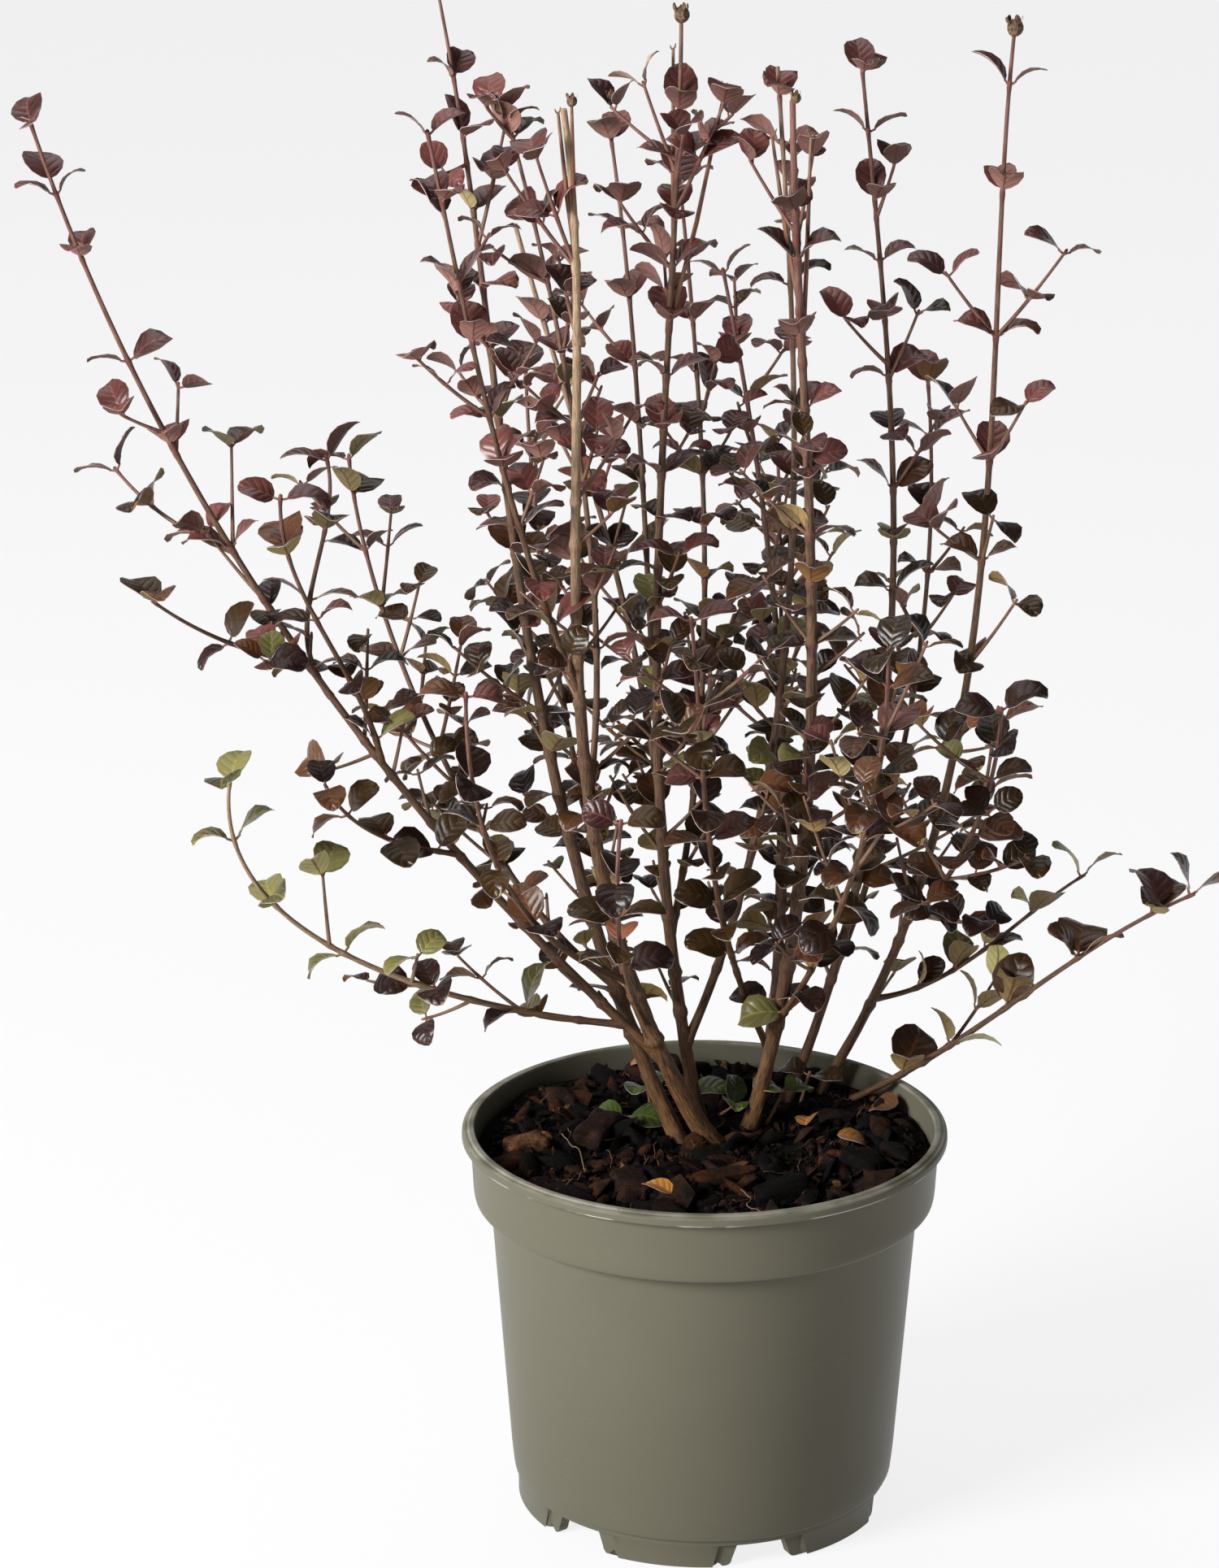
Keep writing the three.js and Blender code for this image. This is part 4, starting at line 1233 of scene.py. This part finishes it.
def pull_feet(made):
    """Pulls the feet down from the underside, with tabs set back, leaning ends and rounded corners."""
    low = (FOOT_HEIGHT - 2) * MM

    def under_foot(face):
        radius = radius_of(face.center)
        on_ring = abs(face.center.z - low) < 0.1 * MM and FOOT_RADIUS - FOOT_WIDTH < radius < FOOT_RADIUS
        return on_ring and abs(turn_from_foot(face.center)) < foot_reach(radius)

    choose(made, "polygons", under_foot)
    bpy.ops.mesh.extrude_region_move(TRANSFORM_OT_translate={"value": (0, 0, -low)})
    bpy.ops.object.mode_set(mode="OBJECT")

    def corner(edge):
        one, two = (made.data.vertices[index].co for index in edge.vertices)
        middle = (one + two) / 2
        turn = abs(turn_from_foot(middle))
        at_end = abs(turn - foot_reach(radius_of(middle))) < 1
        return max(one.z, two.z) < 1e-5 and at_end and abs(turn_from_foot(one) - turn_from_foot(two)) < 1

    choose(made, "edges", corner)
    bpy.ops.mesh.bevel(offset=2.6 * MM, segments=4, profile=0.5, affect="EDGES")
    bpy.ops.object.mode_set(mode="OBJECT")
    for side in (-1, 1):
        def leaning(vertex):
            turn = turn_from_foot(vertex.co) * side
            near_end = turn > foot_reach(radius_of(vertex.co)) - 2.5
            return vertex.co.z < low - 0.1 * MM and near_end
        choose(made, "vertices", leaning)
        bpy.ops.transform.rotate(value=math.radians(side * FOOT_LEAN), orient_axis="Z",
                                 center_override=(AXIS.x, AXIS.y, 0))
        bpy.ops.object.mode_set(mode="OBJECT")
    bpy.context.tool_settings.mesh_select_mode = (True, False, False)


def drill_drains(made):
    """Six drain holes in the floor, over the notches between the feet."""
    drills = []
    for index in range(FOOT_COUNT):
        turn = math.radians(FIRST_FOOT + (index + 0.5) * 360 / FOOT_COUNT)
        outward = Vector((math.sin(turn), -math.cos(turn), 0))
        spot = AXIS + (outward * DRAIN_RING + Vector((0, 0, FOOT_HEIGHT))) * MM
        bpy.ops.mesh.primitive_cylinder_add(
            vertices=24, radius=DRAIN_RADIUS * MM, depth=8 * MM, location=spot)
        drills.append(bpy.context.object)
    for drill in drills:
        drill.select_set(True)
    bpy.context.view_layer.objects.active = drills[0]
    bpy.ops.object.join()
    drill = bpy.context.object
    cut = made.modifiers.new("drains", "BOOLEAN")
    cut.operation = "DIFFERENCE"
    cut.object = drill
    cut.solver = "EXACT"
    select_only(made)
    bpy.ops.object.modifier_apply(modifier=cut.name)
    bpy.data.objects.remove(drill)


# The mulch
def bed_height(x, y):
    """The lumpy top of the mulch, a little lower by the wall, and heaped up at the back and the right."""
    radius = math.hypot(x, y) / SOIL_RADIUS
    lumps = noise.noise(Vector((x * 0.05, y * 0.05, 0))) * 2.4 + noise.noise(Vector((x * 0.2, y * 0.2, 5)))
    back = min(max((y - x * 0.5) / SOIL_RADIUS, 0), 1)
    right = min(max((x / SOIL_RADIUS - 0.5) / 0.4, 0), 1)
    return SOIL_TOP + 1.5 + lumps + BACK_HEAP * back + RIGHT_HEAP * right - max(0, radius - 0.8) * 4


def mulch_bed(material):
    """A rough bed of crumbs under the chips, closed underneath."""
    points = []
    for ring in range(BED_RINGS, 0, -1):
        radius = SOIL_RADIUS * ring / BED_RINGS
        for side in range(BED_SIDES):
            turn = side * 2 * math.pi / BED_SIDES
            x, y = radius * math.cos(turn), radius * math.sin(turn)
            points.append((x, y, bed_height(x, y) + noise.noise(Vector((x * 0.7, y * 0.7, 9))) * 0.8))
    low = SOIL_TOP - BED_DEPTH
    edge = [(x, y, low) for x, y, _ in points[:BED_SIDES]]
    middles = [(0, 0, low), (0, 0, bed_height(0, 0))]
    blocks = [(faces, 0, None) for faces in closed_faces(BED_RINGS + 1, BED_SIDES)]
    made = Gathered()
    made.add(edge + points + middles, blocks)
    return made.piece("mulch_bed", [material], sharp=60)


def new_ball(subdivisions, radius):
    bpy.ops.object.select_all(action="DESELECT")
    bpy.ops.mesh.primitive_ico_sphere_add(subdivisions=subdivisions, radius=radius, location=(0, 0, 0))
    return bpy.context.object


def taken(made):
    """The points and faces of a piece, which is then deleted."""
    points = np.array([vertex.co[:] for vertex in made.data.vertices])
    faces = np.array([polygon.vertices[:] for polygon in made.data.polygons])
    bpy.data.objects.remove(made)
    return points, faces


def chip_shape(rng, worn=0.0):
    """An angular chip of bark 1 long: a ball knocked out of shape, pressed flat, its edges worn off."""
    chip = new_ball(subdivisions=1, radius=1)
    bpy.ops.object.mode_set(mode="EDIT")
    bpy.ops.mesh.select_all(action="SELECT")
    bpy.ops.transform.vertex_random(offset=0.5, uniform=0.6, normal=0, seed=rng.randint(1, 999))
    bpy.ops.transform.resize(value=(1, rng.uniform(0.45, 0.8), rng.uniform(0.22, 0.42)))
    bpy.ops.mesh.convex_hull()
    if worn:
        bpy.ops.mesh.bevel(offset=worn, segments=1, affect="EDGES")
    bpy.ops.mesh.quads_convert_to_tris()
    bpy.ops.object.mode_set(mode="OBJECT")
    points, faces = taken(chip)
    return (points - points.mean(axis=0)) / np.ptp(points, axis=0)[0], faces


def slab_shape(rng):
    """A large piece of bark 1 long, broad and thick, with torn edges and a grained relief."""
    points, faces = taken(new_ball(subdivisions=4, radius=0.5))
    start = rng.uniform(0, 90)
    boxy = np.sign(points) * np.abs(points * 2) ** 0.55 / 2
    for spot in boxy:
        x, y, z = spot
        torn = noise.noise(Vector((x * 2.2 + start, y * 2.2, z * 1.2))) * 0.28
        grain = noise.noise(Vector((x * 2.5, y * 14 + start, z * 10))) * 0.06
        spot *= 1 + torn + grain
    return boxy, faces


def tumbled(rng, lean):
    """A turn about the upright and a lean to a random side, as a matrix of rows."""
    turn = rng.uniform(0, 2 * math.pi)
    tip, roll = rng.gauss(0, lean), rng.gauss(0, lean)
    turned = Matrix.Rotation(-turn, 3, "Z")
    tipped = Matrix.Rotation(tip, 3, "Y")
    rolled = Matrix.Rotation(-roll, 3, "X")
    return np.array(rolled @ tipped @ turned)


def scatter_mulch(limbs):
    """Chips and crumbs of bark strewn over the bed, and large slabs laid on it, joined by colour."""
    rng = random.Random(21)
    shapes = [chip_shape(rng, worn=0.05) for _ in range(12)]
    grits = [chip_shape(rng) for _ in range(6)]
    feet = [limb.spots[0] for limb in limbs.values() if not limb.parent]
    heaps = {name: Gathered() for name in CHIPS}
    shares = [share for _, share in CHIPS.values()]

    def strew(kinds, length, lean, sunk):
        radius = math.sqrt(rng.random()) * (SOIL_RADIUS - length * 0.52 - 0.5)
        turn = rng.uniform(0, 2 * math.pi)
        x, y = radius * math.cos(turn), radius * math.sin(turn)
        if any(math.hypot(x - foot[0], y - foot[1]) < 5 + length * 0.35 for foot in feet):
            return
        points, faces = rng.choice(kinds)
        stretch = np.array([1, rng.uniform(0.4, 1.1), rng.uniform(0.5, 1.1)])
        placed = (points * stretch * length) @ tumbled(rng, lean)
        placed += (x, y, bed_height(x, y) + length * sunk)
        heaps[rng.choices(list(CHIPS), shares)[0]].add(placed, [(faces, 0, None)])

    for _ in range(CHIP_COUNT):
        length = rng.uniform(*(SMALL_CHIP if rng.random() < SMALL_CHIP_SHARE else LARGE_CHIP))
        strew(shapes, length, CHIP_LEAN, rng.uniform(0, 0.16))
    for _ in range(CRUMB_COUNT):
        strew(grits, rng.uniform(*CRUMB), CRUMB_LEAN, 0.14)
    for (x, y), length, breadth, thick, turn, name in SLABS:
        points, faces = slab_shape(rng)
        cosine, sine = math.cos(math.radians(turn)), math.sin(math.radians(turn))
        flat = np.array([[cosine, sine, 0.12], [-sine, cosine, 0.08], [0, 0, 1]])
        placed = points * (length, breadth, thick) @ flat + (x, y, bed_height(x, y) + thick * 0.4)
        heaps[name].add(placed, [(faces, 0, None)])
    return [heap.piece("bark_chips_" + name, [mulch("mulch_" + name, CHIPS[name][0])], sharp=38)
            for name, heap in heaps.items()]


def root_fibres(material):
    """Thin tan roots and splinters caught among the chips."""
    rng = random.Random(77)
    made = Gathered(BARK_TRAITS)
    for spots in LONG_FIBRES:
        steps = np.linspace(0, len(spots) - 1, len(spots) * 5)
        places = between(steps, range(len(spots)), spots)
        centres = [(x, y, bed_height(x, y) + 6.5 + math.sin(x * 0.6 + y * 0.4)) for x, y in places]
        points, blocks, grain = tube(centres, np.linspace(0.3, 0.18, len(centres)), 5)
        made.add(points, blocks, age=0.3, pale=0.3, grain=grain)
    for index in range(FIBRE_COUNT):
        radius = math.sqrt(rng.random()) * (SOIL_RADIUS - 14)
        turn, heading = rng.uniform(0, 2 * math.pi), rng.uniform(0, 2 * math.pi)
        spot = np.array([radius * math.cos(turn), radius * math.sin(turn), 0])
        centres = []
        for _ in range(FIBRE_SPOTS):
            rise = 2.4 + rng.uniform(0, 2.6)
            centres.append(spot + UP * (bed_height(spot[0], spot[1]) + rise))
            heading += rng.gauss(0, 0.3)
            spot = spot + np.array([math.cos(heading), math.sin(heading), 0]) * (1 + (index % 5) * 0.7)
        points, blocks, grain = tube(centres, np.linspace(0.28, 0.14, FIBRE_SPOTS), 4)
        made.add(points, blocks, age=0.3, grain=grain)
    return made.piece("root_fibres", [material])


# Stage
def put(name, data, place, turn):
    """A lamp or a camera, set up in the scene."""
    stand = bpy.data.objects.new(name, data)
    stand.location = place
    stand.rotation_euler = turn
    bpy.context.scene.collection.objects.link(stand)
    return stand


def soft_light(name, place, target, size, power):
    light = bpy.data.lights.new(name, "AREA")
    light.size = size
    light.energy = power
    put(name, light, place, (Vector(target) - Vector(place)).to_track_quat("-Z", "Y").to_euler())


def pale_world():
    """Even white light from all round, which is weaker from above."""
    world = bpy.data.worlds.new("studio")
    world.use_nodes = True
    tree = world.node_tree
    background = tree.nodes["Background"]
    background.inputs["Color"].default_value = (1, 1, 1, 1)
    height = tree.nodes.new("ShaderNodeSeparateXYZ")
    fade = tree.nodes.new("ShaderNodeMapRange")
    fade.interpolation_type = "SMOOTHSTEP"
    for name, value in (("From Min", 0.17), ("From Max", 0.3), ("To Min", 0.86), ("To Max", 0.1)):
        fade.inputs[name].default_value = value
    tree.links.new(tree.nodes.new("ShaderNodeTexCoord").outputs["Generated"], height.inputs["Vector"])
    tree.links.new(height.outputs["Z"], fade.inputs["Value"])
    tree.links.new(fade.outputs["Result"], background.inputs["Strength"])
    return world


def studio():
    """A plain pale floor that fades into a pale horizon, soft light from the left front, and the camera."""
    bpy.ops.object.select_all(action="DESELECT")
    bpy.ops.mesh.primitive_plane_add(size=60, location=(0, 0, -0.0005))
    floor = bpy.context.object
    floor.name = "studio_floor"
    floor.data.materials.append(studio_floor())
    for light in LIGHTS:
        soft_light(*light)
    camera = bpy.data.cameras.new("camera")
    camera.sensor_fit = "VERTICAL"
    camera.sensor_height = 36
    camera.lens = CAMERA_LENS
    place = (AXIS.x, AXIS.y - CAMERA_BACK, CAMERA_HEIGHT)
    turn = (math.radians(CAMERA_PITCH), 0, math.radians(CAMERA_TURN))
    scene = bpy.context.scene
    scene.camera = put("camera", camera, place, turn)
    scene.world = pale_world()
    scene.view_settings.view_transform = "Standard"


# Assembly
def settle(piece, slot, *nodes):
    """The piece rides on the one body and stands for these nodes, which are hidden; the slot is not used.
    """
    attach(piece, "root")
    if nodes:
        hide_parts(*nodes)


def wood_nodes(limb):
    """The nodes whose wood a limb's bark stands for."""
    if limb.name == "trunk":
        return ["trunk"]
    kind = "bough_" if limb.parent else "stem_"
    return [kind + limb.name] if limb.bare > 0 else ["foliage_" + limb.name]


def build():
    studio()
    settle(pot(pot_plastic()), "pot_plastic", "pot")
    soil = frame["nodes"]["soil"]
    # Near-black crumbs for the soil and the bed under the chips: partly their own colour, partly painted
    # shade in the gaps between chips.
    crumbs = mulch("mulch_crumbs", (9, 6, 4), wet=0.4)
    soil.data.materials.clear()
    soil.data.materials.append(crumbs)
    settle(mulch_bed(crumbs), "bark_soil")
    limbs = grow_limbs()
    for piece in scatter_mulch(limbs):
        settle(piece, "bark_soil")
    foliage = Foliage(limbs)
    masses = ["foliage_" + name for name, limb in limbs.items() if limb.bare < 1]
    foliage.place_by_hand()
    foliage.strew_fallen()
    for seed, limb in enumerate(limbs.values(), 12):
        if limb.bare < 1:
            foliage.grow(limb, seed)
        foliage.sprout(limb, seed)
    wood, sawn = bark(), cut_wood()
    settle(root_fibres(wood), "bark_soil")
    for limb in limbs.values():
        settle(limb_wood(limb, wood, sawn), "bark", *wood_nodes(limb))
    settle(foliage.twigs.piece("twigs", [wood], sharp=60), "bark", *masses)
    rng = random.Random(31)
    heads = Gathered()
    for middle, radius in SEED_HEADS:
        seed_head(heads, np.array(middle), radius, foliage, rng)
    husks = heads.piece("seed_heads", [husk()], sharp=50)
    settle(husks, "foliage", "foliage_centre_tall", "foliage_right_tall")
    # Rims painted pale as highlights
    rim_highlight = leaf_margin()
    for tint, leaves in foliage.leaves.items():
        if leaves.count:
            upper, lower = TINTS[tint]
            faces = [leaf_upper(tint, upper), leaf_lower(tint, lower), rim_highlight]
            settle(leaves.piece("leaves_" + tint, faces, sharp=60), "foliage", *masses)


build()
